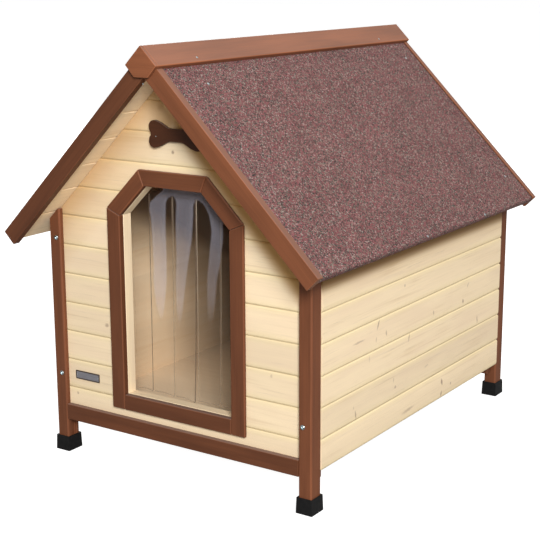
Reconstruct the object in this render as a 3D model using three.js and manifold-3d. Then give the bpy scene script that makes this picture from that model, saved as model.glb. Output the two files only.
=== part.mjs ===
// Wooden dog house on four posts, with a pitched felt roof and a slit plastic door curtain.
// Millimetres. +X is right seen from the front, +Y goes back, +Z is up.
// The origin is on the ground, under the middle of the roof's length and width.
import * as THREE from 'three';
import { mergeVertices } from 'three/addons/utils/BufferGeometryUtils.js';
import Module from 'manifold-3d';

const wasm = await Module();
wasm.setup();

// ---------------------------------------------------------------- driving sizes
const BODY_WIDTH = 750;            // outside of the posts, left to right
const BODY_DEPTH = 1010;           // outside of the posts, front to back
const SEAT_GAP = 0.3;              // gap between pieces that touch

const POST_WIDTH = 34;
const POST_DEPTH = 40;
const POST_CHAMFER = 2.5;
const POST_GROOVE_DEPTH = 6;       // the boards' ends stand this deep in the posts
const POST_TIP_FLAT = 6;           // flat left on the sloping top of a post

const CAP_HEIGHT = 38;             // rubber cups under the posts
const CAP_TOP_WALL = 3;            // wall of a cup at its rim
const CAP_FOOT_WALL = 4.2;         // and at the ground
const CAP_FLOOR = 4;

const RAIL_HEIGHT = 40;            // bottom rail across the front and the back
const RAIL_BOTTOM = 84;

const BEARER_HEIGHT = 27;          // floor bearers, left to right
const BEARER_WIDTH = 24;
const BEARER_BOTTOM = 68;
const FLOOR_THICKNESS = 12;

const WALL_BOTTOM = 94.5;
const LOOSE_ROWS = 7;              // whole rows of boards, below the roof's shoulders
const SHOULDER_REST = 15;          // from the last whole row up to the shoulder
const ROWS_BELOW_DOOR = 1;
const BOARD_THICKNESS = 16;
const BOARD_CHAMFER = 3.2;         // V joint between the boards
const TONGUE_LENGTH = 6;
const TONGUE_WIDTH = 5;
const FRONT_RECESS = 13;           // wall face behind the front of the posts
const SIDE_PROUD = 2;              // wall face outside the posts' side
const BATTEN_WIDTH = 25;           // upright batten behind each end of a side wall

const DOOR_WIDTH = 390;            // outside of the door frame
const DOOR_BOTTOM = 143;
const DOOR_BELOW_APEX = 274.5;     // top of the door frame, under the roof's apex
const DOOR_CORNER = 98;            // size of the cut corners at the top
const DOOR_FRAME_WIDTH = 38;
const DOOR_FRAME_SETBACK = 4;      // frame face behind the front of the posts
const DOOR_LIP_WIDTH = 10;         // rebate that reaches into the wall's cut-out
const DOOR_LIP_DEPTH = 7;
const LINING_DEPTH = 18;           // lining ring behind the boards
const LINING_WIDTH = 38;

const CURTAIN_WIDTH = 304;
const CURTAIN_THICKNESS = 2;
const CURTAIN_SLIT = 1.2;
const CURTAIN_END_STRIP = 50;      // width of the two outer strips
const CURTAIN_INNER_STRIPS = 3;
const CURTAIN_HEADER = 62;         // uncut band above the strips
const CURTAIN_DROP_BELOW_TOP = 26; // slit ends below the top of the opening
const CURTAIN_SILL_GAP = 7;
const CURTAIN_CORNER = 10;
const CLAMP_HEIGHT = 26;           // wooden strip that holds the curtain
const CLAMP_THICKNESS = 12;

const ROOF_PITCH = THREE.MathUtils.degToRad(45);
const ROOF_APEX = 1006.5;          // where the tops of the barge boards would meet
const EAVE_HALF_WIDTH = 442.5;
const FRONT_OVERHANG = 84;
const REAR_OVERHANG = 33;
const BARGE_WIDTH = 40;
const BARGE_THICKNESS = 20;
const REAR_BARGE_THICKNESS = 15;
const FELT_THICKNESS = 3;
const FELT_DROP = 3;               // felt surface below the top of the barge boards
const FELT_LIP = 16;               // felt turned down over the eave
const FELT_BEND = 7;               // outer radius of that turn
const DECK_THICKNESS = 24;
const DECK_BOARD_COVER = 90;
const DECK_V_DEPTH = 3;

const RIDGE_WIDTH = 60;            // outer face of one ridge board
const RIDGE_THICKNESS = 11;
const RIDGE_FRONT_REACH = 10;      // end block in front of the barge boards
const RIDGE_REAR_REACH = 2;
const RIDGE_BLOCK_BOTTOM = 38;     // flat bottom of the end block, left to right
const RIDGE_BLOCK_DROP = 68;       // that bottom below the ridge

const BONE_X = 14;
const BONE_BELOW_APEX = 190.5;
const BONE_LOBE_SPAN = 120;        // between lobe centres, left to right
const BONE_LOBE_RISE = 39;         // between lobe centres, up and down
const BONE_LOBE_RADIUS = 15;
const BONE_SHAFT_HEIGHT = 29;
const BONE_SHAFT_LENGTH = 30;      // straight part between the flares
const BONE_THICKNESS = 9;

const PLATE_FROM_POST = 22;        // clear of the left post
const PLATE_Z = 202.5;
const PLATE_WIDTH = 77;
const PLATE_HEIGHT = 22;
const PLATE_THICKNESS = 1;
const PLATE_CORNER = 2;

const ARC_STEPS = 4;               // facets in a quarter turn

// ---------------------------------------------------------------- worked-out sizes
const bodyRight = BODY_WIDTH / 2;
const bodyBack = BODY_DEPTH / 2;
const postInnerX = bodyRight - POST_WIDTH;
const postInnerY = bodyBack - POST_DEPTH;
const frontFace = -bodyBack + FRONT_RECESS;
const frontInside = frontFace + BOARD_THICKNESS;
const sideFace = bodyRight + SIDE_PROUD;
const sideInside = sideFace - BOARD_THICKNESS;
const bearerTop = BEARER_BOTTOM + BEARER_HEIGHT;
const boardEndX = postInnerX + POST_GROOVE_DEPTH - SEAT_GAP;

const deckTop = FELT_DROP + FELT_THICKNESS + SEAT_GAP;    // below the barge tops, square to the slope
const deckUnder = deckTop + DECK_THICKNESS;
const slopeCos = Math.cos(ROOF_PITCH);
const slopeTan = Math.tan(ROOF_PITCH);
const eaveEnd = EAVE_HALF_WIDTH / slopeCos;               // along the slope from the ridge
const roofFront = -bodyBack - FRONT_OVERHANG;
const roofBack = bodyBack + REAR_OVERHANG;

// Height of a plane that lies `below` under the barge tops, at the distance x from the middle.
const slopeHeight = (x, below) => ROOF_APEX - below / slopeCos - slopeTan * Math.abs(x);
const wallTop = (x) => slopeHeight(x, deckUnder + SEAT_GAP);

const boardCover = (wallTop(boardEndX) - SHOULDER_REST - WALL_BOTTOM) / LOOSE_ROWS;   // of one board
const doorTop = ROOF_APEX - DOOR_BELOW_APEX;

// ---------------------------------------------------------------- materials
const paint = (name, color, roughness, metalness = 0) =>
  new THREE.MeshStandardMaterial({ name, color, roughness, metalness });
const brownTimber = paint('brown stained timber', 0x7a4a35, 0.6);
const creamTimber = paint('cream lacquered timber', 0xecd8ac, 0.6);
const roofFelt = paint('red mineral felt', 0x6e5254, 0.95);
const blackRubber = paint('black rubber', 0x262626, 0.7);
const rawPanel = paint('birch plywood', 0xc9a877, 0.75);
const greyMetal = paint('grey metal plate', 0x9b9a97, 0.4, 0.9);
const clearSheet = paint('clear soft plastic', 0xdfe4e4, 0.15);
clearSheet.transparent = true;
clearSheet.opacity = 0.4;

// ---------------------------------------------------------------- shape helpers
// The house is moved back so that the middle of its whole length, roof included, is over the origin.
const house = new THREE.Group();
const ridgeFront = roofFront - RIDGE_FRONT_REACH;
const ridgeBack = roofBack + RIDGE_REAR_REACH;
house.position.y = -(ridgeFront + ridgeBack) / 2;

function outline(points) {
  return new THREE.Shape(points.map(([u, v]) => new THREE.Vector2(u, v)));
}

// A prism with its outline in the two other axes: (x, z) for 'y', (y, z) for 'x', (x, y) for 'z'.
const PRISM_TURN = {
  x: new THREE.Matrix4().set(0, 0, 1, 0, 1, 0, 0, 0, 0, 1, 0, 0, 0, 0, 0, 1),
  y: new THREE.Matrix4().set(1, 0, 0, 0, 0, 0, -1, 0, 0, 1, 0, 0, 0, 0, 0, 1),
  z: new THREE.Matrix4(),
};

function prism(axis, points, from, to) {
  const shape = Array.isArray(points) ? outline(points) : points;
  const geometry = new THREE.ExtrudeGeometry(shape, {
    depth: to - from, bevelEnabled: false, curveSegments: ARC_STEPS,
  });
  geometry.applyMatrix4(PRISM_TURN[axis]);
  if (axis === 'x') geometry.translate(from, 0, 0);
  if (axis === 'y') geometry.translate(0, to, 0);
  if (axis === 'z') geometry.translate(0, 0, from);
  return geometry;
}

function solid(geometry) {
  const bare = geometry.clone();
  bare.deleteAttribute('normal');
  bare.deleteAttribute('uv');
  const merged = mergeVertices(bare, 1e-4);
  return new wasm.Manifold(new wasm.Mesh({
    numProp: 3,
    vertProperties: new Float32Array(merged.attributes.position.array),
    triVerts: new Uint32Array(merged.index.array),
  }));
}

function geometryOf(manifold) {
  const mesh = manifold.getMesh();
  const geometry = new THREE.BufferGeometry();
  geometry.setAttribute('position', new THREE.BufferAttribute(mesh.vertProperties, 3));
  geometry.setIndex(new THREE.BufferAttribute(mesh.triVerts, 1));
  geometry.computeVertexNormals();
  return geometry;
}

function addPiece(name, shape, material, parent = house) {
  const geometry = shape.isBufferGeometry ? shape : geometryOf(shape);
  const mesh = new THREE.Mesh(geometry, material);
  mesh.name = name;
  parent.add(mesh);
  return mesh;
}

// Points on an arc, from one angle to another in degrees.
function arc(cu, cv, radius, from, to, steps = ARC_STEPS) {
  return Array.from({ length: steps + 1 }, (_, i) => {
    const angle = THREE.MathUtils.degToRad(from + (to - from) * i / steps);
    return [cu + radius * Math.cos(angle), cv + radius * Math.sin(angle)];
  });
}

const rectangle = (u0, v0, u1, v1) => [[u0, v0], [u1, v0], [u1, v1], [u0, v1]];
const mirrored = (points, u, v = 1) => points.map(([a, b]) => [a * u, b * v]);
const sideName = (side) => (side > 0 ? 'right' : 'left');
const endName = (end) => (end > 0 ? 'rear' : 'front');

// ---------------------------------------------------------------- posts and foot caps
// Section of a post about its own middle: chamfered square with the groove for the wall boards.
function postSection() {
  const x = POST_WIDTH / 2;
  const y = POST_DEPTH / 2;
  const c = POST_CHAMFER;
  const grooveFront = -y + FRONT_RECESS - SEAT_GAP;
  const grooveBack = grooveFront + BOARD_THICKNESS + 2 * SEAT_GAP;
  const grooveEnd = -x + POST_GROOVE_DEPTH;
  return [
    [-x + c, -y], [x - c, -y], [x, -y + c], [x, y - c], [x - c, y], [-x + c, y], [-x, y - c],
    [-x, grooveBack], [grooveEnd, grooveBack], [grooveEnd, grooveFront], [-x, grooveFront],
    [-x, -y + c],
  ];
}

for (const end of [-1, 1]) {
  for (const side of [-1, 1]) {
    const corner = new THREE.Group();
    corner.position.set(side * (bodyRight - POST_WIDTH / 2), end * (bodyBack - POST_DEPTH / 2), 0);
    house.add(corner);
    const h = POST_WIDTH / 2;
    const outerTop = wallTop(bodyRight);
    const tipTop = wallTop(postInnerX + POST_TIP_FLAT);
    const bar = solid(prism('z', mirrored(postSection(), side, -end), CAP_FLOOR + SEAT_GAP, tipTop));
    const front = [[-h, 0], [h, 0], [h, outerTop], [-h + POST_TIP_FLAT, tipTop], [-h, tipTop]];
    const post = bar.intersect(solid(prism('y', mirrored(front, side), -POST_DEPTH, POST_DEPTH)));
    addPiece(`post_${endName(end)}_${sideName(side)}`, post, brownTimber, corner);
    addPiece(`foot_cap_${endName(end)}_${sideName(side)}`, footCap(), blackRubber, corner);
  }
}

// Cup that widens towards the ground: a block whose upper face is drawn in to the rim.
function footCap() {
  const x = POST_WIDTH / 2 + SEAT_GAP;
  const y = POST_DEPTH / 2 + SEAT_GAP;
  const shell = new THREE.BoxGeometry(
    2 * (x + CAP_FOOT_WALL), 2 * (y + CAP_FOOT_WALL), CAP_HEIGHT);
  const corners = shell.attributes.position;
  for (let i = 0; i < corners.count; i += 1) {
    if (corners.getZ(i) < 0) continue;
    corners.setX(i, Math.sign(corners.getX(i)) * (x + CAP_TOP_WALL));
    corners.setY(i, Math.sign(corners.getY(i)) * (y + CAP_TOP_WALL));
  }
  shell.translate(0, 0, CAP_HEIGHT / 2);
  const hole = prism('z', rectangle(-x, -y, x, y), CAP_FLOOR, CAP_HEIGHT + 1);
  return solid(shell).subtract(solid(hole));
}

// ---------------------------------------------------------------- floor
for (const end of [-1, 1]) {
  const railEnd = postInnerX - SEAT_GAP;
  const rail = prism('x', railSection(), -railEnd, railEnd);
  if (end > 0) rail.rotateZ(Math.PI);
  addPiece(`bottom_rail_${endName(end)}`, rail, brownTimber);

  const bearer = new THREE.BoxGeometry(2 * (sideInside - SEAT_GAP), BEARER_WIDTH, BEARER_HEIGHT);
  const mesh = addPiece(`floor_bearer_${endName(end)}`, bearer, brownTimber);
  mesh.position.set(0, end * (postInnerY - SEAT_GAP - BEARER_WIDTH / 2), bearerTop - BEARER_HEIGHT / 2);
}

// Front rail, flush with the posts, with eased front edges.
function railSection() {
  const y0 = -bodyBack;
  const y1 = frontFace - SEAT_GAP;
  const z0 = RAIL_BOTTOM;
  const z1 = RAIL_BOTTOM + RAIL_HEIGHT;
  const c = POST_CHAMFER / 2;
  return [[y0 + c, z0], [y1, z0], [y1, z1], [y0 + c, z1], [y0, z1 - c], [y0, z0 + c]];
}

// Floor panel, notched at its corners for the posts and the side walls' battens.
{
  const wide = sideInside - SEAT_GAP;
  const narrow = postInnerX - 2 * SEAT_GAP;
  const deep = -frontInside - SEAT_GAP;
  const notch = postInnerY - BATTEN_WIDTH - 2 * SEAT_GAP;
  const quarter = [[narrow, deep], [narrow, notch], [wide, notch]];
  const opposite = mirrored(quarter, -1, -1);
  const floor = [
    ...quarter, ...mirrored(quarter, 1, -1).reverse(), ...opposite, ...mirrored(quarter, -1, 1).reverse(),
  ];
  const floorBottom = bearerTop + SEAT_GAP;
  addPiece('floor_panel', prism('z', floor, floorBottom, floorBottom + FLOOR_THICKNESS), rawPanel);
}

// ---------------------------------------------------------------- wall boards
const rowHeight = (row) => WALL_BOTTOM + row * boardCover;

// Section of rows `from` to `to` of a wall, as [depth behind the face, height]. The rows are joined,
// with a V joint on the face. The stack has a groove below, and a tongue above if it is asked for.
function boardSection(from, to, hasTongue) {
  const c = BOARD_CHAMFER;
  const bottom = rowHeight(from);
  const top = rowHeight(to + 1) - SEAT_GAP;
  const middle = BOARD_THICKNESS / 2;
  const half = TONGUE_WIDTH / 2;
  const face = [[c, bottom], [0, bottom + c]];
  for (let row = from + 1; row <= to; row += 1) {
    face.push([0, rowHeight(row) - c], [c, rowHeight(row)], [0, rowHeight(row) + c]);
  }
  face.push([0, top - c], [c, top]);
  const tongue = hasTongue
    ? [[middle - half, top], [middle - half, top + TONGUE_LENGTH],
      [middle + half, top + TONGUE_LENGTH], [middle + half, top]]
    : [];
  const slot = half + SEAT_GAP;
  const groove = from > 0
    ? [[middle + slot, bottom], [middle + slot, bottom + TONGUE_LENGTH],
      [middle - slot, bottom + TONGUE_LENGTH], [middle - slot, bottom]]
    : [];
  return [...face, ...tongue, [BOARD_THICKNESS, top], [BOARD_THICKNESS, bottom], ...groove];
}

// Outline of the front and back walls: between the posts and under the roof boards.
function gableOutline() {
  const x = boardEndX;
  return [[-x, 0], [x, 0], [x, wallTop(x)], [0, wallTop(0)], [-x, wallTop(x)]];
}

const rowsTo = (height) => Math.ceil((height - WALL_BOTTOM) / boardCover) - 1;

// ---------------------------------------------------------------- door outline
// Six corners of the door frame, `inset` inside its outer edge, from the lower left one clockwise.
function doorCorners(inset, bottom = DOOR_BOTTOM + inset) {
  const x = DOOR_WIDTH / 2 - inset;
  const top = doorTop - inset;
  const lean = inset * Math.tan(Math.PI / 8);
  const spring = doorTop - DOOR_CORNER - lean;
  const topX = DOOR_WIDTH / 2 - DOOR_CORNER - lean;
  return [[-x, bottom], [-x, spring], [-topX, top], [topX, top], [x, spring], [x, bottom]];
}

const doorInnerBottom = DOOR_BOTTOM + DOOR_FRAME_WIDTH;
const doorInnerTop = doorTop - DOOR_FRAME_WIDTH;
const cutInset = DOOR_FRAME_WIDTH - DOOR_LIP_WIDTH;
const cutBottom = rowHeight(ROWS_BELOW_DOOR);
const cutTop = doorTop - cutInset;
const wallCutOut = solid(prism('y', doorCorners(cutInset, cutBottom - SEAT_GAP),
  frontFace - BOARD_THICKNESS, frontInside + BOARD_THICKNESS));

// ---------------------------------------------------------------- front wall
// Whole rows are single boards, cut in two where the doorway passes. The rows that the roof cuts off
// are joined into the gable.
{
  const wallRange = [frontFace - 1, frontInside + 1];
  const gable = solid(prism('y', gableOutline(), ...wallRange));
  const boards = new THREE.Group();
  house.add(boards);

  const boardStack = (from, to, hasTongue) => {
    const section = boardSection(from, to, hasTongue).map(([depth, z]) => [frontFace + depth, z]);
    return solid(prism('x', section, -boardEndX, boardEndX)).intersect(gable).subtract(wallCutOut);
  };

  for (let row = 0; row < LOOSE_ROWS; row += 1) {
    const board = boardStack(row, row, true);
    const number = String(row + 1).padStart(2, '0');
    const isSplit = row >= ROWS_BELOW_DOOR && rowHeight(row + 1) + TONGUE_LENGTH <= cutTop;
    for (const side of isSplit ? [-1, 1] : []) {
      const halfSpace = mirrored(rectangle(0, 0, BODY_WIDTH, ROOF_APEX), side);
      const half = board.intersect(solid(prism('y', halfSpace, ...wallRange)));
      addPiece(`front_board_${number}_${sideName(side)}`, half, creamTimber, boards);
    }
    if (!isSplit) addPiece(`front_board_${number}`, board, creamTimber, boards);
  }
  addPiece('front_gable_boards', boardStack(LOOSE_ROWS, rowsTo(wallTop(0)), false), creamTimber, boards);
}

// ---------------------------------------------------------------- back wall
{
  const section = boardSection(0, rowsTo(wallTop(0)), false).map(([depth, z]) => [-frontFace - depth, z]);
  const gable = solid(prism('y', gableOutline(), -frontInside - 1, -frontFace + 1));
  const wall = solid(prism('x', section, -boardEndX, boardEndX)).intersect(gable);
  addPiece('rear_wall_boards', wall, creamTimber);
}

// ---------------------------------------------------------------- side walls
for (const side of [-1, 1]) {
  const wallEnd = postInnerY - SEAT_GAP;
  const section = boardSection(0, rowsTo(wallTop(sideInside)), false)
    .map(([depth, z]) => [side * (sideFace - depth), z]);
  const underRoof = mirrored([
    [postInnerX, 0], [sideFace + 1, 0], [sideFace + 1, wallTop(sideFace + 1)],
    [postInnerX, wallTop(postInnerX)]], side);
  const batten = mirrored([
    [postInnerX, bearerTop + SEAT_GAP], [sideInside + 1, bearerTop + SEAT_GAP],
    [sideInside + 1, ROOF_APEX], [postInnerX, ROOF_APEX]], side);
  const wall = solid(prism('y', section, -wallEnd, wallEnd))
    .add(solid(prism('y', batten, -wallEnd, -wallEnd + BATTEN_WIDTH)))
    .add(solid(prism('y', batten, wallEnd - BATTEN_WIDTH, wallEnd)))
    .intersect(solid(prism('y', underRoof, -wallEnd - 1, wallEnd + 1)));
  addPiece(`${sideName(side)}_wall_boards`, wall, creamTimber);
}

// ---------------------------------------------------------------- door frame
// A ring with a rebate. Its upper corners are mitred, and the sill stands between the two sides.
{
  const faceY = -bodyBack + DOOR_FRAME_SETBACK;
  const flangeBack = frontFace - SEAT_GAP;
  const lipBack = frontFace + DOOR_LIP_DEPTH;
  const lipOutline = doorCorners(cutInset + SEAT_GAP, cutBottom);
  const ring = solid(prism('y', doorCorners(0), faceY, flangeBack))
    .add(solid(prism('y', lipOutline, (faceY + flangeBack) / 2, lipBack)))
    .subtract(solid(prism('y', doorCorners(DOOR_FRAME_WIDTH), faceY - 1, lipBack + 1)));

  const frame = new THREE.Group();
  house.add(frame);
  const outer = doorCorners(-DOOR_FRAME_WIDTH);
  const inner = doorCorners(DOOR_FRAME_WIDTH, outer[0][1]);
  const addBar = (name, ...corners) => {
    const bar = ring.intersect(solid(prism('y', jointedOutline(...corners), faceY - 1, lipBack + 1)));
    addPiece(`door_frame_${name}`, bar, brownTimber, frame);
  };
  ['left', 'corner_left', 'top', 'corner_right', 'right'].forEach((name, i) => {
    addBar(name, outer[i], outer[i + 1], inner[i + 1], inner[i]);
  });
  addBar('sill', inner[5], inner[0], inner[1], inner[4]);
}

// Four-sided outline whose second and fourth edges are joints, each drawn in by the seat gap.
function jointedOutline(a, b, c, d) {
  const length = Math.hypot(b[0] - a[0], b[1] - a[1]);
  const pull = [(b[0] - a[0]) / length * SEAT_GAP, (b[1] - a[1]) / length * SEAT_GAP];
  const move = ([u, v], sign) => [u + sign * pull[0], v + sign * pull[1]];
  return [move(a, 1), move(b, -1), move(c, -1), move(d, 1)];
}

// ---------------------------------------------------------------- lining ring behind the door frame
const liningFront = frontFace + DOOR_LIP_DEPTH + SEAT_GAP;
const liningBack = frontInside + SEAT_GAP + LINING_DEPTH;
{
  const opening = doorCorners(DOOR_FRAME_WIDTH);
  const neckOutline = doorCorners(cutInset + SEAT_GAP, cutBottom);
  const flangeOutline = doorCorners(DOOR_FRAME_WIDTH - LINING_WIDTH);
  const ring = solid(prism('y', neckOutline, liningFront, liningBack))
    .add(solid(prism('y', flangeOutline, frontInside + SEAT_GAP, liningBack)))
    .subtract(solid(prism('y', opening, liningFront - 1, liningBack + 1)));
  addPiece('door_lining', ring, creamTimber);
}

// ---------------------------------------------------------------- door curtain
{
  const curtain = new THREE.Group();
  const sheetFront = liningBack + SEAT_GAP;
  const slitEnd = doorInnerTop - CURTAIN_DROP_BELOW_TOP;
  const radius = CURTAIN_THICKNESS / 2;
  curtain.position.set(0, sheetFront + radius, slitEnd);       // on the line where the strips bend
  house.add(curtain);

  // Uncut band, with the strips' rounded tops just under it.
  const header = new THREE.BoxGeometry(CURTAIN_WIDTH, CURTAIN_THICKNESS, CURTAIN_HEADER);
  const headerBottom = radius + SEAT_GAP;
  addPiece('curtain_header', header, clearSheet, curtain)
    .position.z = headerBottom + CURTAIN_HEADER / 2;

  const clamp = new THREE.BoxGeometry(CURTAIN_WIDTH, CLAMP_THICKNESS, CLAMP_HEIGHT);
  addPiece('curtain_clamp_strip', clamp, creamTimber, curtain)
    .position.set(0, radius + SEAT_GAP + CLAMP_THICKNESS / 2,
      headerBottom + CURTAIN_HEADER - CLAMP_HEIGHT / 2);

  const slits = (CURTAIN_INNER_STRIPS + 1) * CURTAIN_SLIT;
  const innerWidth = (CURTAIN_WIDTH - 2 * CURTAIN_END_STRIP - slits) / CURTAIN_INNER_STRIPS;
  const stripCount = CURTAIN_INNER_STRIPS + 2;
  const drop = slitEnd - doorInnerBottom - CURTAIN_SILL_GAP;
  let left = -CURTAIN_WIDTH / 2;
  for (let i = 0; i < stripCount; i += 1) {
    const width = i === 0 || i === stripCount - 1 ? CURTAIN_END_STRIP : innerWidth;
    const strip = curtainStrip(width, drop, radius);
    addPiece(`curtain_strip_${i + 1}`, strip, clearSheet, curtain).position.x = left + width / 2;
    left += width + CURTAIN_SLIT;
  }
}

// A strip that hangs from z = 0, with rounded lower corners and a round top edge to bend on.
function curtainStrip(width, drop, radius) {
  const half = width / 2;
  const c = CURTAIN_CORNER;
  const front = [
    ...arc(-half + c, -drop + c, c, 180, 270), ...arc(half - c, -drop + c, c, 270, 360),
    [half, radius], [-half, radius],
  ];
  const section = [[-radius, -drop - 1], [radius, -drop - 1], ...arc(0, 0, radius, 0, 180, 6)];
  return solid(prism('y', front, -radius - 1, radius + 1))
    .intersect(solid(prism('x', section, -half - 1, half + 1)));
}

// ---------------------------------------------------------------- roof
// Each slope is a group whose x runs down the slope and whose z stands square on it, with the
// barge boards' top at z = 0. The left one is turned half round, so its y runs to the front.
const ridgeUnder = -FELT_DROP + SEAT_GAP;             // underside of the ridge boards, in a slope
const ridgeTop = ridgeUnder + RIDGE_THICKNESS;
const ridgeBoardEnd = RIDGE_WIDTH - ridgeTop * slopeTan;
const atRidge = (height) => -height * slopeTan + SEAT_GAP / 2 / slopeCos;

for (const side of [-1, 1]) {
  const slope = new THREE.Group();
  slope.rotation.set(0, ROOF_PITCH, side > 0 ? 0 : Math.PI, 'ZYX');
  slope.position.z = ROOF_APEX;
  house.add(slope);
  const alongRoof = (points, y0, y1) =>
    (side > 0 ? prism('y', points, y0, y1) : prism('y', points, -y1, -y0));
  const boardFront = roofFront + BARGE_THICKNESS + SEAT_GAP;
  const boardBack = roofBack - REAR_BARGE_THICKNESS - SEAT_GAP;
  const name = sideName(side);

  addPiece(`roof_felt_${name}`, alongRoof(feltSection(), boardFront, boardBack), roofFelt, slope);
  addPiece(`roof_deck_${name}`, alongRoof(deckSection(), boardFront, boardBack), creamTimber, slope);
  addPiece(`barge_board_front_${name}`,
    alongRoof(bargeOutline(), roofFront, roofFront + BARGE_THICKNESS), brownTimber, slope);
  addPiece(`barge_board_rear_${name}`,
    alongRoof(bargeOutline(), roofBack - REAR_BARGE_THICKNESS, roofBack), brownTimber, slope);
  addPiece(`ridge_board_${name}`,
    alongRoof(ridgeSection(), roofFront, ridgeBack), brownTimber, slope);
}

// Felt sheet that lies on the deck and turns down over its end.
function feltSection() {
  const top = -FELT_DROP;
  const bottom = top - FELT_THICKNESS;
  const centre = eaveEnd - FELT_BEND;
  const lipEnd = top - FELT_LIP;
  return [
    [atRidge(top), top], ...arc(centre, top - FELT_BEND, FELT_BEND, 90, 0), [eaveEnd, lipEnd],
    [eaveEnd - FELT_THICKNESS, lipEnd],
    ...arc(centre, top - FELT_BEND, FELT_BEND - FELT_THICKNESS, 0, 90), [atRidge(bottom), bottom],
  ];
}

// Roof boards that run along the house, with V joints on their underside.
function deckSection() {
  const end = eaveEnd - FELT_THICKNESS - SEAT_GAP;
  const bend = FELT_BEND - FELT_THICKNESS;
  const points = [[atRidge(-deckTop), -deckTop], ...arc(end - bend, -deckTop - bend, bend, 90, 0)];
  points.push([end, -deckUnder]);
  for (let s = end - DECK_BOARD_COVER; s > DECK_BOARD_COVER; s -= DECK_BOARD_COVER) {
    points.push([s + DECK_V_DEPTH, -deckUnder], [s, -deckUnder + DECK_V_DEPTH], [s - DECK_V_DEPTH, -deckUnder]);
  }
  points.push([atRidge(-deckUnder), -deckUnder]);
  return points;
}

// Barge board, notched at its upper end for the ridge board that crosses it.
function bargeOutline() {
  const notchEnd = ridgeBoardEnd + SEAT_GAP;
  const notch = ridgeUnder - SEAT_GAP;
  return [
    [atRidge(-BARGE_WIDTH), -BARGE_WIDTH], [eaveEnd, -BARGE_WIDTH], [eaveEnd, 0],
    [notchEnd, 0], [notchEnd, notch], [atRidge(notch), notch],
  ];
}

function ridgeSection() {
  const ease = POST_CHAMFER / 2;
  return [
    [atRidge(ridgeUnder), ridgeUnder], [ridgeBoardEnd, ridgeUnder],
    [ridgeBoardEnd, ridgeTop - ease], [ridgeBoardEnd - ease, ridgeTop], [atRidge(ridgeTop), ridgeTop],
  ];
}

// ---------------------------------------------------------------- block over the ridge's front end
{
  const cornerX = ridgeBoardEnd * slopeCos + ridgeTop * Math.sin(ROOF_PITCH);
  const apexZ = ROOF_APEX + ridgeTop / slopeCos;
  const bottomZ = apexZ - RIDGE_BLOCK_DROP;
  const half = RIDGE_BLOCK_BOTTOM / 2;
  const face = [[0, apexZ], [-cornerX, apexZ - slopeTan * cornerX], [-half, bottomZ],
    [half, bottomZ], [cornerX, apexZ - slopeTan * cornerX]];
  const block = prism('y', face, ridgeFront, roofFront - SEAT_GAP);
  addPiece('ridge_end_block', block, brownTimber);
}

// ---------------------------------------------------------------- ornament and plate on the front
{
  const dx = BONE_LOBE_SPAN / 2;
  const dz = BONE_LOBE_RISE / 2;
  const back = BONE_THICKNESS;
  const lobe = (x, z) => {
    const disc = new THREE.CylinderGeometry(BONE_LOBE_RADIUS, BONE_LOBE_RADIUS, back, 6 * ARC_STEPS);
    return solid(disc.translate(x, 0, z));
  };
  const half = BONE_SHAFT_HEIGHT / 2;
  const flare = dz + BONE_LOBE_RADIUS - half;
  const quarter = Array.from({ length: 2 * ARC_STEPS + 1 }, (_, i) => {
    const t = i / (2 * ARC_STEPS);
    const x = THREE.MathUtils.lerp(BONE_SHAFT_LENGTH / 2, dx, t);
    return [x, half + flare * THREE.MathUtils.smoothstep(t, 0, 1)];
  });
  const upper = [...quarter.toReversed(), ...mirrored(quarter, -1)];
  const shaft = [...upper, ...mirrored(upper, 1, -1).reverse()];
  let bone = solid(prism('y', shaft, -back / 2, back / 2));
  for (const [u, v] of [[-1, -1], [-1, 1], [1, -1], [1, 1]]) bone = bone.add(lobe(u * dx, v * dz));
  addPiece('bone_ornament', bone, brownTimber)
    .position.set(BONE_X, frontFace - SEAT_GAP - back / 2, ROOF_APEX - BONE_BELOW_APEX);

  const w = PLATE_WIDTH / 2 - PLATE_CORNER;
  const h = PLATE_HEIGHT / 2 - PLATE_CORNER;
  const face = [...arc(w, h, PLATE_CORNER, 0, 90, 2), ...arc(-w, h, PLATE_CORNER, 90, 180, 2),
    ...arc(-w, -h, PLATE_CORNER, 180, 270, 2), ...arc(w, -h, PLATE_CORNER, 270, 360, 2)];
  addPiece('name_plate', prism('y', face, -PLATE_THICKNESS, 0), greyMetal)
    .position.set(-postInnerX + PLATE_FROM_POST + PLATE_WIDTH / 2, frontFace - SEAT_GAP, PLATE_Z);
}

export default house;
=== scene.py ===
import math

import bmesh
import bpy
import numpy as np
from mathutils import Matrix, Vector


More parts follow.
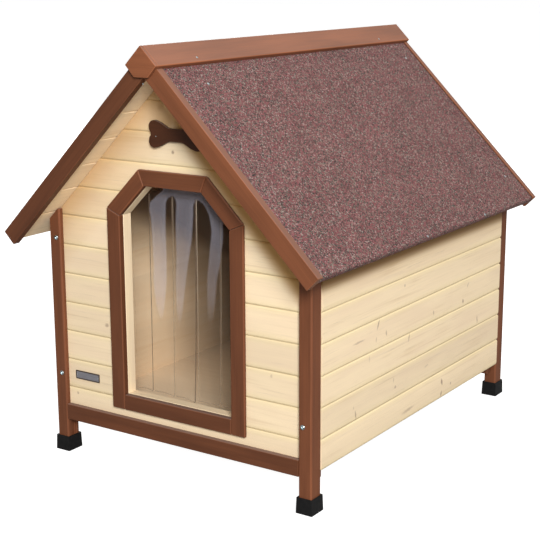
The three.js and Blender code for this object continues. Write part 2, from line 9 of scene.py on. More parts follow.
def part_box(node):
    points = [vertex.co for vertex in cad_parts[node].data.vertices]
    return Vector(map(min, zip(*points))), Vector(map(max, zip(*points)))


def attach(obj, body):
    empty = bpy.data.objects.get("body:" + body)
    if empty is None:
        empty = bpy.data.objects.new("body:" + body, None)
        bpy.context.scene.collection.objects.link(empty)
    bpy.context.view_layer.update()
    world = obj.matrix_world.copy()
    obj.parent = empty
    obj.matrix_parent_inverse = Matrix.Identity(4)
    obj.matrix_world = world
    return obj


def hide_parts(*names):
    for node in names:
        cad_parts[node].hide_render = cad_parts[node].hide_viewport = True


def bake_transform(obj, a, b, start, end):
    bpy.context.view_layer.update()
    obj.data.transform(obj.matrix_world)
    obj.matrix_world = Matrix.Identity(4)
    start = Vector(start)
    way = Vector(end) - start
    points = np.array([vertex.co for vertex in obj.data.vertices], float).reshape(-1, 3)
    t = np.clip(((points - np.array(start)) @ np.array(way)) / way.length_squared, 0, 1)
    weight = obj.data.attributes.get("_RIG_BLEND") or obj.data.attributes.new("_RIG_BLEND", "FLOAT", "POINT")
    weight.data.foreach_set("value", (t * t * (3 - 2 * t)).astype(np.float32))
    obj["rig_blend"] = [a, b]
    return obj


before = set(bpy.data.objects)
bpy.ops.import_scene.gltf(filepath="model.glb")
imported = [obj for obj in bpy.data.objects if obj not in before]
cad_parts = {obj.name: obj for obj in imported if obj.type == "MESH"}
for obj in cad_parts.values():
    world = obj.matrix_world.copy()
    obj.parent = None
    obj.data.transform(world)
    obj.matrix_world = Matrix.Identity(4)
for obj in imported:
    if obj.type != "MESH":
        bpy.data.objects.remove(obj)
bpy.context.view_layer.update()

bl_info = {
    "name": "Wooden dog house",
    "version": (1, 0, 0),
    "blender": (4, 5, 0),
    "location": "3D View > Sidebar > Dog house",
    "description": "Finishes a wooden dog house with a felt roof and a plastic door curtain",
    "category": "Object",
}

MM = 0.001
SEED = 11                   # of the numbers that place each piece in its pattern
HIGHEST_NUMBER = 40


# ------------------------------------------------------------------ sizes read from the frame
def low(node):
    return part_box(node)[0]


def high(node):
    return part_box(node)[1]


BODY_RIGHT = high("post_front_right").x          # outside of the posts
BODY_FRONT = low("post_front_left").y
BODY_BACK = high("post_rear_left").y
POST_WIDTH = BODY_RIGHT - low("post_front_right").x
WALL_BOTTOM = low("front_board_01").z
BOARD_COVER = low("front_board_03_left").z - low("front_board_02_left").z
BARGE_WIDTH = 40 * MM
EAVE_X = high("barge_board_front_right").x       # lower end of the barge boards' top edge
EAVE_Z = low("barge_board_front_right").z + BARGE_WIDTH / math.sqrt(2)
ROOF_APEX = EAVE_Z + EAVE_X                      # the slopes are at 45 degrees
SHEET_Y = (low("curtain_strip_1").y + high("curtain_strip_1").y) / 2
SLIT_END_Z = high("curtain_strip_1").z - 1 * MM
SIDE_WALL_END = high("right_wall_boards").y      # rear ends of the side boards
INSIDE_FRONT = high("front_board_01").y
INSIDE_BACK = low("rear_wall_boards").y
BOARD_THICKNESS = INSIDE_FRONT - low("front_board_01").y
INSIDE_HALF = high("right_wall_boards").x - BOARD_THICKNESS
FELT_DROP = 3 * MM                               # top of the felt under the barge boards' top edge
FELT_BEND = 7 * MM                               # outer radius of its turn at the eave
FELT_LIP = 20.5 * MM
FELT_THICKNESS = 3 * MM
FELT_WAVE = 1.1 * MM                             # how high its waves stand
FELT_STEPS = 90                                  # points down the flat of a slope
JOINT_DEPTH = 3.2 * MM                           # of the V joints between the solid boards
FILLED_JOINT = 1.2 * MM                          # of the same joints under their lacquer
SHEET_THICKNESS = 1.6 * MM                       # of the curtain's plastic
STRIP_CORNER = 3 * MM                            # radius of a strip's lower corners


# ------------------------------------------------------------------ colours
def linear(text):
    """sRGB hex text to linear red, green, blue and alpha."""
    values = [int(text[i:i + 2], 16) / 255 for i in (1, 3, 5)]
    return [v / 12.92 if v <= 0.04045 else ((v + 0.055) / 1.055) ** 2.4 for v in values] + [1.0]


class DOGHOUSE_PG_colours(bpy.types.PropertyGroup):
    """Base colours of the finishes."""
    brown: bpy.props.FloatVectorProperty(
        name="Brown stain", description="Stain on the posts, trims and ridge",
        default=linear("#6b3f28")[:3], size=3, subtype="COLOR")
    cream: bpy.props.FloatVectorProperty(
        name="Cream lacquer", description="Lacquer on the wall boards",
        default=linear("#f3dcb8")[:3], size=3, subtype="COLOR")
    felt_red: bpy.props.FloatVectorProperty(
        name="Felt granules", description="Red mineral granules of the roof felt",
        default=linear("#7a4849")[:3], size=3, subtype="COLOR")
    rubber: bpy.props.FloatVectorProperty(
        name="Rubber", description="Caps under the posts",
        default=linear("#0f0f0f")[:3], size=3, subtype="COLOR")


class DOGHOUSE_PG_sizes(bpy.types.PropertyGroup):
    """Sizes of what is added to the solids."""
    edge_radius: bpy.props.FloatProperty(
        name="Edge radius", description="Rounding of the planed edges",
        default=1.2 * MM, min=0, unit="LENGTH", subtype="DISTANCE")
    bolt_head: bpy.props.FloatProperty(
        name="Bolt head", description="Diameter of the bolt heads on the posts",
        default=12 * MM, min=0, unit="LENGTH", subtype="DISTANCE")
    nail_head: bpy.props.FloatProperty(
        name="Felt nail head", description="Diameter of the nail heads in the roof felt",
        default=7 * MM, min=0, unit="LENGTH", subtype="DISTANCE")
    strip_bow: bpy.props.FloatProperty(
        name="Strip bow", description="How far a curtain strip bulges to the front",
        default=2.5 * MM, min=0, unit="LENGTH", subtype="DISTANCE")


# ------------------------------------------------------------------ material helpers
def plug(tree, node, inputs):
    """Fills inputs of a node, by name or number, each with an output or with a plain value."""
    for key, value in inputs.items():
        if isinstance(value, bpy.types.NodeSocket):
            tree.links.new(value, node.inputs[key])
        else:
            node.inputs[key].default_value = value


def add(tree, kind, inputs=None, stops=(), **settings):
    """Adds one node with its settings, its inputs and, on a ramp, its stops of position and colour. By
    number, Map Range takes its value as 0, the range it comes from as 1 and 2 and the range it goes to as
    3 and 4, and Mix takes its factor as 0, two numbers as 2 and 3 and two colours as 6 and 7."""
    made = tree.nodes.new(kind)
    for key, value in settings.items():
        setattr(made, key, value)
    plug(tree, made, inputs or {})
    if stops:
        elements = made.color_ramp.elements
        while len(elements) < len(stops):
            elements.new(0.5)
        for element, (position, colour) in zip(elements, stops):
            element.position = position
            element.color = colour
    return made


def blank(name):
    """An empty node material, with its node tree and its shader."""
    material = bpy.data.materials.new(name)
    material.use_nodes = True
    tree = material.node_tree
    tree.nodes.clear()
    shader = add(tree, "ShaderNodeBsdfPrincipled")
    add(tree, "ShaderNodeOutputMaterial", {"Surface": shader.outputs[0]})
    return material, tree, shader


def toned(colour, *factors):
    """A colour whose red, green and blue are made deeper or paler by three factors."""
    return [min(1, channel * factor) for channel, factor in zip(colour, factors)] + [1]


# ------------------------------------------------------------------ materials
# Spruce is planed, so its growth rings show as fine long lines. The grain turn brings the grain of
# a piece to the X axis before the pattern is stretched along it.
GRAIN_TURNS = {
    "x": (0, 0, 0),
    "y": (0, 0, math.radians(90)),
    "z": (0, math.radians(90), 0),
    "left": (0, math.radians(45), 0),
    "right": (0, math.radians(-45), 0),
}
TIMBER_COAT = {"IOR": 1.48, "Specular IOR Level": 0.25}     # stain and lacquer are both satin
GROWTH_RELIEF = {"Strength": 0.2, "Distance": 0.2 * MM}     # how far growth lines stand out


def grain_coordinates(tree, grain, jump):
    """Object coordinates turned so that X runs along the grain, and moved by `jump` on all three axes."""
    place = add(tree, "ShaderNodeTexCoord").outputs["Object"]
    along_x = add(tree, "ShaderNodeMapping", {0: place, "Rotation": GRAIN_TURNS[grain]}).outputs[0]
    shift = add(tree, "ShaderNodeCombineXYZ", {0: jump, 1: jump, 2: jump}).outputs[0]
    return add(tree, "ShaderNodeVectorMath", {0: along_x, 1: shift}, operation="ADD").outputs[0]


def stretched(tree, vector, along, across):
    """Coordinates scaled so that a pattern is `along` metres long and `across` metres wide."""
    scale = (1 / along, 1 / across, 1 / across)
    return add(tree, "ShaderNodeVectorMath", {0: vector, 1: scale}, operation="MULTIPLY").outputs[0]


def brown_timber(grain, colour, wear=1.0):
    """Spruce with a brown translucent stain: satin, with darker growth lines and cloudy patches. On the
    eased edges the stain is rubbed thin and a painted highlight lies on them, so `wear` makes them paler,
    and faces that look up are bleached and carry a painted highlight."""
    material, tree, shader = blank("brown stained spruce " + grain + (" worn edge" if wear > 1 else ""))
    number = add(tree, "ShaderNodeAttribute", attribute_name="piece_number").outputs["Fac"]
    stain = add(tree, "ShaderNodeAttribute", attribute_name="stain_tone").outputs["Fac"]
    vector = grain_coordinates(tree, grain, number)
    lines = add(tree, "ShaderNodeTexNoise", {
        "Vector": stretched(tree, vector, 160 * MM, 3.4 * MM), "Scale": 1.0, "Detail": 5.0,
        "Roughness": 0.6, "Distortion": 0.6}).outputs[0]
    clouds = add(tree, "ShaderNodeTexNoise", {
        "Vector": stretched(tree, vector, 240 * MM, 30 * MM), "Scale": 1.0, "Detail": 3.0}).outputs[0]
    tone = add(tree, "ShaderNodeMix", {0: 0.55, 2: lines, 3: clouds}, data_type="FLOAT").outputs[0]
    dark, pale = toned(colour, 0.78, 0.78, 0.78), toned(colour, 1.22, 1.22, 1.22)
    shade = add(tree, "ShaderNodeValToRGB", {0: tone},
                stops=[(0.34, dark), (0.50, colour), (0.66, pale)]).outputs[0]
    # A `wear` above 1 pales the eased edges: rubbed stain together with a painted highlight.
    strength = add(tree, "ShaderNodeMath", {0: stain, 1: wear}, operation="MULTIPLY").outputs[0]
    shade = add(tree, "ShaderNodeVectorMath", {0: shade, "Scale": strength}, operation="SCALE").outputs[0]
    # Faces that look up are bleached, and the same paler mix is a painted highlight on them.
    facing = add(tree, "ShaderNodeNewGeometry").outputs["Normal"]
    up = add(tree, "ShaderNodeSeparateXYZ", {0: facing}).outputs[2]
    bleach_and_highlight = add(tree, "ShaderNodeMapRange", {0: up, 1: 0.4, 2: 1.0, 3: 0.0, 4: 0.24}).outputs[0]
    shade = add(tree, "ShaderNodeMix", {
        0: bleach_and_highlight, 6: shade, 7: linear("#b9a8a0")}, data_type="RGBA").outputs[2]
    rough = add(tree, "ShaderNodeMapRange", {0: lines, 3: 0.46, 4: 0.66}).outputs[0]
    bump = add(tree, "ShaderNodeBump", {"Height": lines, **GROWTH_RELIEF}).outputs[0]
    plug(tree, shader, {"Base Color": shade, "Roughness": rough, "Normal": bump, **TIMBER_COAT})
    return material


# Knots of each wall: place along the wall and height, half length, half width, lean from upright in
# degrees and strength, with all lengths in mm. A branch that was sawn along its length shows as a thin
# dash across the board.
KNOTS = {
    "right": (
        (-61, 438, 4, 3, 0, 0.75), (291, 365, 8, 3, 35, 0.6), (264, 327, 8, 4, -15, 0.9),
        (95, 334, 8, 3, -8, 0.6), (-188, 371, 15, 3.5, 24, 0.75), (-149, 341, 9, 4, -10, 0.6),
        (-197, 336, 8, 3, 0, 0.4), (-277, 350, 30, 3, 90, 0.5), (-34, 301, 12, 3.5, 17, 0.75),
        (355, 256, 13, 3.5, -8, 0.7), (-228, 297, 10, 4, 0, 0.25), (62, 204, 12, 3, 80, 0.35),
        (152, 137, 12, 5, -20, 0.95), (150, 106, 9, 4.5, 20, 0.7), (204, 119, 5, 4, 10, 0.65),
        (-109, 214, 7, 3, 0, 0.4), (-100, 194, 5, 4, 30, 0.65), (-289, 180, 13, 3.5, -12, 0.7),
        (-298, 199, 5, 3, 0, 0.35), (-32, 116, 36, 5, 86, 0.45)),
    "front": (
        (-1, 777, 6, 4.5, 10, 0.85), (-32, 880, 15, 11, 25, 0.5), (-213, 343, 8, 6, 70, 0.65),
        (-315, 154, 4.5, 3.5, 0, 0.6), (262, 300, 5, 3.5, 20, 0.35), (-120, 880, 4, 3, 0, 0.4)),
}
KNOT_RIM_WANDER = 5 * MM


def scattered_knots(seed, reach, top, count=16):
    """Knots for a wall that the photograph doesn't show, up to `reach` mm from its middle and up to the
    height `top`."""
    pick = np.random.default_rng(seed)
    return np.stack([
        pick.uniform(-reach, reach, count), pick.uniform(115, top, count), pick.uniform(5, 14, count),
        pick.uniform(3, 4.5, count), pick.uniform(-30, 30, count), pick.uniform(0.4, 0.8, count)], -1)


KNOTS["left"] = scattered_knots(5, 430, 440)
KNOTS["rear"] = scattered_knots(8, 320, 700)


def knot_strength(tree, along, height, knots):
    """The strongest of the listed knots at a point. Each is an ellipse with a soft rim that wanders."""
    flat = add(tree, "ShaderNodeCombineXYZ", {0: along, 1: height}).outputs[0]
    wander = add(tree, "ShaderNodeTexNoise", {"Vector": flat, "Scale": 140.0, "Detail": 2.0}).outputs["Color"]
    flat = add(tree, "ShaderNodeVectorMath", {
        0: wander, 1: (KNOT_RIM_WANDER, KNOT_RIM_WANDER, 0), 2: flat}, operation="MULTIPLY_ADD").outputs[0]
    strongest = 0.0
    for place, level, long, wide, lean, strength in knots:
        middle = (place * MM + KNOT_RIM_WANDER / 2, level * MM + KNOT_RIM_WANDER / 2, 0)
        own = add(tree, "ShaderNodeMapping", {
            0: flat, "Location": middle, "Rotation": (0, 0, -math.radians(lean)),
            "Scale": (wide * MM, long * MM, 1)}, vector_type="TEXTURE").outputs[0]
        far = add(tree, "ShaderNodeVectorMath", {0: own}, operation="LENGTH").outputs["Value"]
        spot = add(tree, "ShaderNodeMapRange", {
            0: far, 1: 0.3, 2: 1.15, 3: float(strength), 4: 0.0}, interpolation_type="SMOOTHSTEP").outputs[0]
        strongest = add(tree, "ShaderNodeMath", {0: strongest, 1: spot}, operation="MAXIMUM").outputs[0]
    return strongest


def cream_timber(grain, colour, wall=None):
    """Spruce under a cream lacquer: pale, with faint grey streaks and a tone for each board. On a wall it
    has knots, dark dirt in the V joints, yellower lacquer beside them and painted shade below the deck.
    Inside it is bare and tan, with painted shade where the door's light doesn't reach, and the side
    walls have a painted shadow in the notches at their rear ends."""
    material, tree, shader = blank(f"cream lacquered spruce {wall + ' wall' if wall else grain}")
    place = add(tree, "ShaderNodeTexCoord").outputs["Object"]
    across, depth, height = add(tree, "ShaderNodeSeparateXYZ", {0: place}).outputs
    from_foot = add(tree, "ShaderNodeMath", {0: height, 1: WALL_BOTTOM}, operation="SUBTRACT").outputs[0]
    own = add(tree, "ShaderNodeAttribute", attribute_name="piece_number").outputs["Fac"]
    if wall:
        rows = add(tree, "ShaderNodeMath", {0: from_foot, 1: BOARD_COVER}, operation="DIVIDE").outputs[0]
        row = add(tree, "ShaderNodeMath", {0: rows}, operation="FLOOR").outputs[0]
        own = add(tree, "ShaderNodeMath", {0: row, 1: own}, operation="ADD").outputs[0]
    board = add(tree, "ShaderNodeTexWhiteNoise", {"W": own}, noise_dimensions="1D").outputs[0]
    jump = add(tree, "ShaderNodeMath", {0: board, 1: 7.0}, operation="MULTIPLY").outputs[0]
    vector = grain_coordinates(tree, grain, jump)
    lines, figure, wood = lacquered_figure(tree, vector, colour, 0.34 if wall else 0.1)

    if wall:
        edge = add(tree, "ShaderNodeMath", {
            0: from_foot, 1: BOARD_COVER / 2}, operation="PINGPONG").outputs[0]
        knots = knot_strength(tree, across if grain == "x" else depth, height, KNOTS[wall])
        # Painted shade: a deeper ochre below the deck, where the roof keeps the light off.
        wood = painted_eave_shade(tree, place, marked(tree, wood, edge, knots))
    if wall or grain == "y":
        inside = inside_mask(tree, place)
        bare = bare_inside(tree, figure, depth, height)
        wood = add(tree, "ShaderNodeMix", {0: inside, 6: wood, 7: bare}, data_type="RGBA").outputs[2]
    if wall and grain == "y":
        # Painted shadow in the notches that the rounded board ends leave against the post.
        notch = painted_notch_shadow(tree, edge, depth)
        wood = add(tree, "ShaderNodeMix", {
            0: notch, 6: wood, 7: linear("#54382a")}, data_type="RGBA").outputs[2]

    tone = add(tree, "ShaderNodeMapRange", {0: board, 3: 0.93, 4: 1.04}).outputs[0]
    stain = add(tree, "ShaderNodeAttribute", attribute_name="stain_tone").outputs["Fac"]
    tone = add(tree, "ShaderNodeMath", {0: tone, 1: stain}, operation="MULTIPLY").outputs[0]
    shade = add(tree, "ShaderNodeVectorMath", {0: wood, "Scale": tone}, operation="SCALE").outputs[0]
    rough = add(tree, "ShaderNodeMapRange", {0: lines, 3: 0.45, 4: 0.62}).outputs[0]
    relief = {"Height": lines, **GROWTH_RELIEF}
    if wall:
        relief["Normal"] = crowned(tree, edge, inside)
    bump = add(tree, "ShaderNodeBump", relief).outputs[0]
    plug(tree, shader, {"Base Color": shade, "Roughness": rough, "Normal": bump, **TIMBER_COAT})
    return material


def lacquered_figure(tree, vector, colour, streakiness):
    """Growth lines, the figure that they make with broad flames, and the lacquered colour: the figure from
    deep to pale, with grey streaks and pinkish patches over it."""
    lines = add(tree, "ShaderNodeTexNoise", {
        "Vector": stretched(tree, vector, 260 * MM, 4.5 * MM), "Scale": 1.0, "Detail": 4.0,
        "Roughness": 0.55, "Distortion": 0.4}).outputs[0]
    flames = add(tree, "ShaderNodeTexNoise", {
        "Vector": stretched(tree, vector, 330 * MM, 26 * MM), "Scale": 1.0, "Detail": 3.0,
        "Distortion": 1.2}).outputs[0]
    figure = add(tree, "ShaderNodeMix", {0: 0.5, 2: lines, 3: flames}, data_type="FLOAT").outputs[0]
    deep, pale = toned(colour, 0.84, 0.79, 0.72), toned(colour, 1.06, 1.06, 1.06)
    wood = add(tree, "ShaderNodeValToRGB", {0: figure},
               stops=[(0.30, deep), (0.46, colour), (0.68, pale)]).outputs[0]
    streaks = add(tree, "ShaderNodeTexNoise", {
        "Vector": stretched(tree, vector, 150 * MM, 6 * MM), "Scale": 1.0, "Detail": 3.0,
        "Roughness": 0.7, "Distortion": 0.3}).outputs[0]
    streak = add(tree, "ShaderNodeMapRange", {
        0: streaks, 1: 0.60, 2: 0.78, 3: 0.0, 4: streakiness}).outputs[0]
    wood = add(tree, "ShaderNodeMix", {
        0: streak, 6: wood, 7: linear("#a3937f")}, data_type="RGBA").outputs[2]
    patches = add(tree, "ShaderNodeTexNoise", {
        "Vector": stretched(tree, vector, 200 * MM, 45 * MM), "Scale": 1.0, "Detail": 1.0}).outputs[0]
    blush = add(tree, "ShaderNodeMapRange", {0: patches, 1: 0.45, 2: 0.7, 3: 0.0, 4: 0.5}).outputs[0]
    wood = add(tree, "ShaderNodeMix", {
        0: blush, 6: wood, 7: linear("#ecd2b2")}, data_type="RGBA").outputs[2]
    return lines, figure, wood


def marked(tree, wood, edge, knots):
    """Yellower lacquer over the last 16 mm to a joint, grey brown knots, and dirt in the joint itself."""
    beside = add(tree, "ShaderNodeMapRange", {0: edge, 1: 2 * MM, 2: 16 * MM, 3: 0.45, 4: 0.0}).outputs[0]
    dirt = add(tree, "ShaderNodeMapRange", {0: edge, 1: 0.3 * MM, 2: 1.6 * MM, 3: 0.3, 4: 0.0}).outputs[0]
    for amount, tint in ((beside, "#f6e2ae"), (knots, "#a28a75"), (dirt, "#8f7747")):
        wood = add(tree, "ShaderNodeMix", {
            0: amount, 6: wood, 7: linear(tint)}, data_type="RGBA").outputs[2]
    return wood


def crowned(tree, edge, inside):
    """Normal of a board whose face falls away over the last 8 mm to its edges, as planing leaves it. Inside
    the cabin the boards are flat."""
    fall = add(tree, "ShaderNodeMapRange", {0: edge, 1: 0.0, 2: 8 * MM, 3: 1.0, 4: 0.0}).outputs[0]
    fall = add(tree, "ShaderNodeMath", {0: fall, 1: inside}, operation="SUBTRACT", use_clamp=True).outputs[0]
    depth = add(tree, "ShaderNodeMath", {0: fall, 1: 2.0}, operation="POWER").outputs[0]
    return add(tree, "ShaderNodeBump", {
        "Height": depth, "Strength": 1.0, "Distance": 1.1 * MM}, invert=True).outputs[0]


def inside_mask(tree, place):
    """1 on the faces inside the cabin and 0 outside."""
    middle = (0, (INSIDE_FRONT + INSIDE_BACK) / 2, 0)
    own = add(tree, "ShaderNodeVectorMath", {0: place, 1: middle}, operation="SUBTRACT").outputs[0]
    size = add(tree, "ShaderNodeVectorMath", {0: own}, operation="ABSOLUTE").outputs[0]
    across, depth, _ = add(tree, "ShaderNodeSeparateXYZ", {0: size}).outputs
    slack = 0.5 * MM
    limits = (INSIDE_HALF + slack, (INSIDE_BACK - INSIDE_FRONT) / 2 + slack)
    within, between = (
        add(tree, "ShaderNodeMath", {0: distance, 1: limit}, operation="LESS_THAN").outputs[0]
        for distance, limit in zip((across, depth), limits))
    return add(tree, "ShaderNodeMath", {0: within, 1: between}, operation="MULTIPLY").outputs[0]


def bare_inside(tree, figure, depth, height):
    """Bare spruce: tan, with the same figure as the lacquered face. Painted shade darkens it where the light
    from the door seldom falls: above a line that sinks towards the rear, near the floor and at the rear."""
    wood = add(tree, "ShaderNodeValToRGB", {0: figure}, stops=[
        (0.30, linear("#ecca9f")), (0.50, linear("#f3d5ae")), (0.70, linear("#f6dbb6"))]).outputs[0]
    # Painted shade above a line that sinks towards the rear, near the floor and towards the rear.
    level = add(tree, "ShaderNodeMath", {0: depth, 1: 0.55, 2: height}, operation="MULTIPLY_ADD").outputs[0]
    upper = add(tree, "ShaderNodeMapRange", {
        0: level, 1: 430 * MM, 2: 510 * MM, 3: 0.0, 4: 0.85}).outputs[0]
    foot = add(tree, "ShaderNodeMapRange", {
        0: height, 1: 60 * MM, 2: 280 * MM, 3: 0.26, 4: 0.0}).outputs[0]
    painted_shade = add(tree, "ShaderNodeMath", {0: upper, 1: foot}, operation="MAXIMUM").outputs[0]
    painted_shade = add(tree, "ShaderNodeMath", {0: painted_shade, 1: painted_shade_to_rear(tree, depth)}, operation="MAXIMUM").outputs[0]
    return add(tree, "ShaderNodeMix", {
        0: painted_shade, 6: wood, 7: linear("#5c341e")}, data_type="RGBA").outputs[2]


def painted_shade_to_rear(tree, depth):
    """Share of painted shade: rises from 0 near the door to 0.6 in the rear half of the cabin."""
    return add(tree, "ShaderNodeMapRange", {0: depth, 1: -120 * MM, 2: 260 * MM, 3: 0.0, 4: 0.6}).outputs[0]


def painted_eave_shade(tree, place, wood):
    """Painted shade on the walls below the deck, where little light falls, as a deeper ochre in the lacquer:
    a little in the last 15 cm everywhere, more in the last 20 cm of the gables' right half, and most in the
    last 3 cm of the side walls, behind the lip of the felt."""
    lowest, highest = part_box("roof_deck_right")
    across, _, height = add(tree, "ShaderNodeSeparateXYZ", {0: place}).outputs
    right = add(tree, "ShaderNodeMapRange", {
        0: across, 1: -70 * MM, 2: 20 * MM, 3: 0.2, 4: 1.0}).outputs[0]
    across = add(tree, "ShaderNodeMath", {0: across}, operation="ABSOLUTE").outputs[0]
    side = add(tree, "ShaderNodeMath", {
        0: across, 1: INSIDE_HALF + 2 * MM}, operation="GREATER_THAN").outputs[0]
    right = add(tree, "ShaderNodeMath", {0: right, 1: side}, operation="SUBTRACT", use_clamp=True).outputs[0]
    fall = (highest.z - lowest.z) / (highest.x - lowest.x)
    level = add(tree, "ShaderNodeMath", {0: across, 1: fall, 2: height}, operation="MULTIPLY_ADD").outputs[0]
    below = add(tree, "ShaderNodeMath", {0: highest.z, 1: level}, operation="SUBTRACT").outputs[0]
    # Each painted shade: where it starts to fade and ends, in mm below the deck's top, its strength, colour
    # and area.
    eave_shades = (
        (10, 150, 0.6, "#9c6c2c", 1.0),
        (135, 195, 0.95, "#c39352", right),
        (85, 114, 0.9, "#7d5828", side))
    for full, end, strength, tint, area in eave_shades:
        amount = add(tree, "ShaderNodeMapRange", {
            0: below, 1: full * MM, 2: end * MM, 3: strength, 4: 0.0},
            interpolation_type="SMOOTHSTEP").outputs[0]
        amount = add(tree, "ShaderNodeMath", {0: amount, 1: area}, operation="MULTIPLY").outputs[0]
        wood = add(tree, "ShaderNodeMix", {
            0: amount, 6: wood, 7: linear(tint)}, data_type="RGBA").outputs[2]
    return wood


def painted_notch_shadow(tree, edge, depth):
    """1 in the corners that the rounded rear ends of the side boards leave against the post, where a dark
    painted shadow stands for the gap: outside a quarter circle whose middle is one radius away from the
    joint and from the end."""
    radius = 9 * MM
    from_end = add(tree, "ShaderNodeMath", {0: SIDE_WALL_END, 1: depth}, operation="SUBTRACT").outputs[0]
    reach = []
    for distance in (edge, from_end):
        left = add(tree, "ShaderNodeMath", {0: radius, 1: distance}, operation="SUBTRACT").outputs[0]
        reach.append(add(tree, "ShaderNodeMath", {0: left, 1: 0.0}, operation="MAXIMUM").outputs[0])
    corner = add(tree, "ShaderNodeCombineXYZ", {0: reach[0], 1: reach[1]}).outputs[0]
    far = add(tree, "ShaderNodeVectorMath", {0: corner}, operation="LENGTH").outputs["Value"]
    return add(tree, "ShaderNodeMath", {0: far, 1: radius}, operation="GREATER_THAN").outputs[0]


def mineral_felt(red):
    """Bitumen felt strewn with crushed slate. Real grit is about 1 mm and is drawn at 2.4 mm, so that
    red, pink, dark and pale grains still show one by one."""
    material, tree, shader = blank("mineral surfaced bitumen felt")
    place = add(tree, "ShaderNodeTexCoord").outputs["Object"]
    grit = add(tree, "ShaderNodeTexVoronoi", {"Vector": place, "Scale": 1 / (2.4 * MM)})
    pick = add(tree, "ShaderNodeSeparateColor", {0: grit.outputs["Color"]}).outputs[0]
    grains = add(tree, "ShaderNodeValToRGB", {0: pick}, stops=[
        (0.00, linear("#2e2c2d")), (0.23, linear("#4e4a44")), (0.45, red),
        (0.74, linear("#8b5859")), (0.90, linear("#787567")), (0.985, linear("#a8958f"))]).outputs[0]
    patches = add(tree, "ShaderNodeTexNoise", {"Vector": place, "Scale": 11.0, "Detail": 3.0}).outputs[0]
    wear = add(tree, "ShaderNodeMapRange", {0: patches, 1: 0.3, 2: 0.7, 3: 0.92, 4: 1.08}).outputs[0]
    shade = add(tree, "ShaderNodeVectorMath", {0: grains, "Scale": wear}, operation="SCALE").outputs[0]
    bump = add(tree, "ShaderNodeBump", {
        "Height": grit.outputs["Distance"], "Strength": 0.45, "Distance": 0.8 * MM}, invert=True).outputs[0]
    plug(tree, shader, {
        "Base Color": shade, "Normal": bump, "Roughness": 0.92, "Specular IOR Level": 0.2})
    return material


def moulded_rubber(colour):
    """Moulded black rubber: dull, with a fine moulded grain and slightly greyer worn spots."""
    material, tree, shader = blank("moulded black rubber")
    place = add(tree, "ShaderNodeTexCoord").outputs["Object"]
    dust = add(tree, "ShaderNodeTexNoise", {"Vector": place, "Scale": 90.0, "Detail": 4.0}).outputs[0]
    shade = add(tree, "ShaderNodeValToRGB", {0: dust},
                stops=[(0.35, colour), (0.75, linear("#191818"))]).outputs[0]
    grainy = add(tree, "ShaderNodeTexNoise", {"Vector": place, "Scale": 900.0}).outputs[0]
    bump = add(tree, "ShaderNodeBump", {
        "Height": grainy, "Strength": 0.25, "Distance": 0.2 * MM}).outputs[0]
    plug(tree, shader, {
        "Base Color": shade, "Normal": bump, "Roughness": 0.6, "Specular IOR Level": 0.2})
    return material


def birch_plywood():
    """Bare birch plywood: pale tan with broad soft flame figure along the panel, and painted shade that
    darkens it towards the rear."""
    material, tree, shader = blank("birch plywood")
    place = add(tree, "ShaderNodeTexCoord").outputs["Object"]
    figure = add(tree, "ShaderNodeTexNoise", {
        "Vector": stretched(tree, place, 400 * MM, 22 * MM), "Scale": 1.0, "Detail": 5.0,
        "Distortion": 1.4}).outputs[0]
    shade = add(tree, "ShaderNodeValToRGB", {0: figure}, stops=[
        (0.25, linear("#e6cba8")), (0.50, linear("#ebd2b0")), (0.75, linear("#efd8b8"))]).outputs[0]
    depth = add(tree, "ShaderNodeSeparateXYZ", {0: place}).outputs[1]
    # Painted shade towards the rear of the cabin.
    shade = add(tree, "ShaderNodeMix", {
        0: painted_shade_to_rear(tree, depth), 6: shade, 7: linear("#6d4a30")}, data_type="RGBA").outputs[2]
    plug(tree, shader, {"Base Color": shade, "Roughness": 0.6})
    return material


def zinc_plated_steel():
    """Zinc plated steel: bright bluish metal with a faintly blotched passivated coat."""
    material, tree, shader = blank("zinc plated steel")
    place = add(tree, "ShaderNodeTexCoord").outputs["Object"]
    blotch = add(tree, "ShaderNodeTexNoise", {"Vector": place, "Scale": 400.0, "Detail": 2.0}).outputs[0]
    shade = add(tree, "ShaderNodeValToRGB", {0: blotch},
                stops=[(0.35, linear("#8f9ca0")), (0.65, linear("#c3cbcc"))]).outputs[0]
    rough = add(tree, "ShaderNodeMapRange", {0: blotch, 3: 0.22, 4: 0.42}).outputs[0]
    plug(tree, shader, {"Base Color": shade, "Roughness": rough, "Metallic": 1.0})
    return material


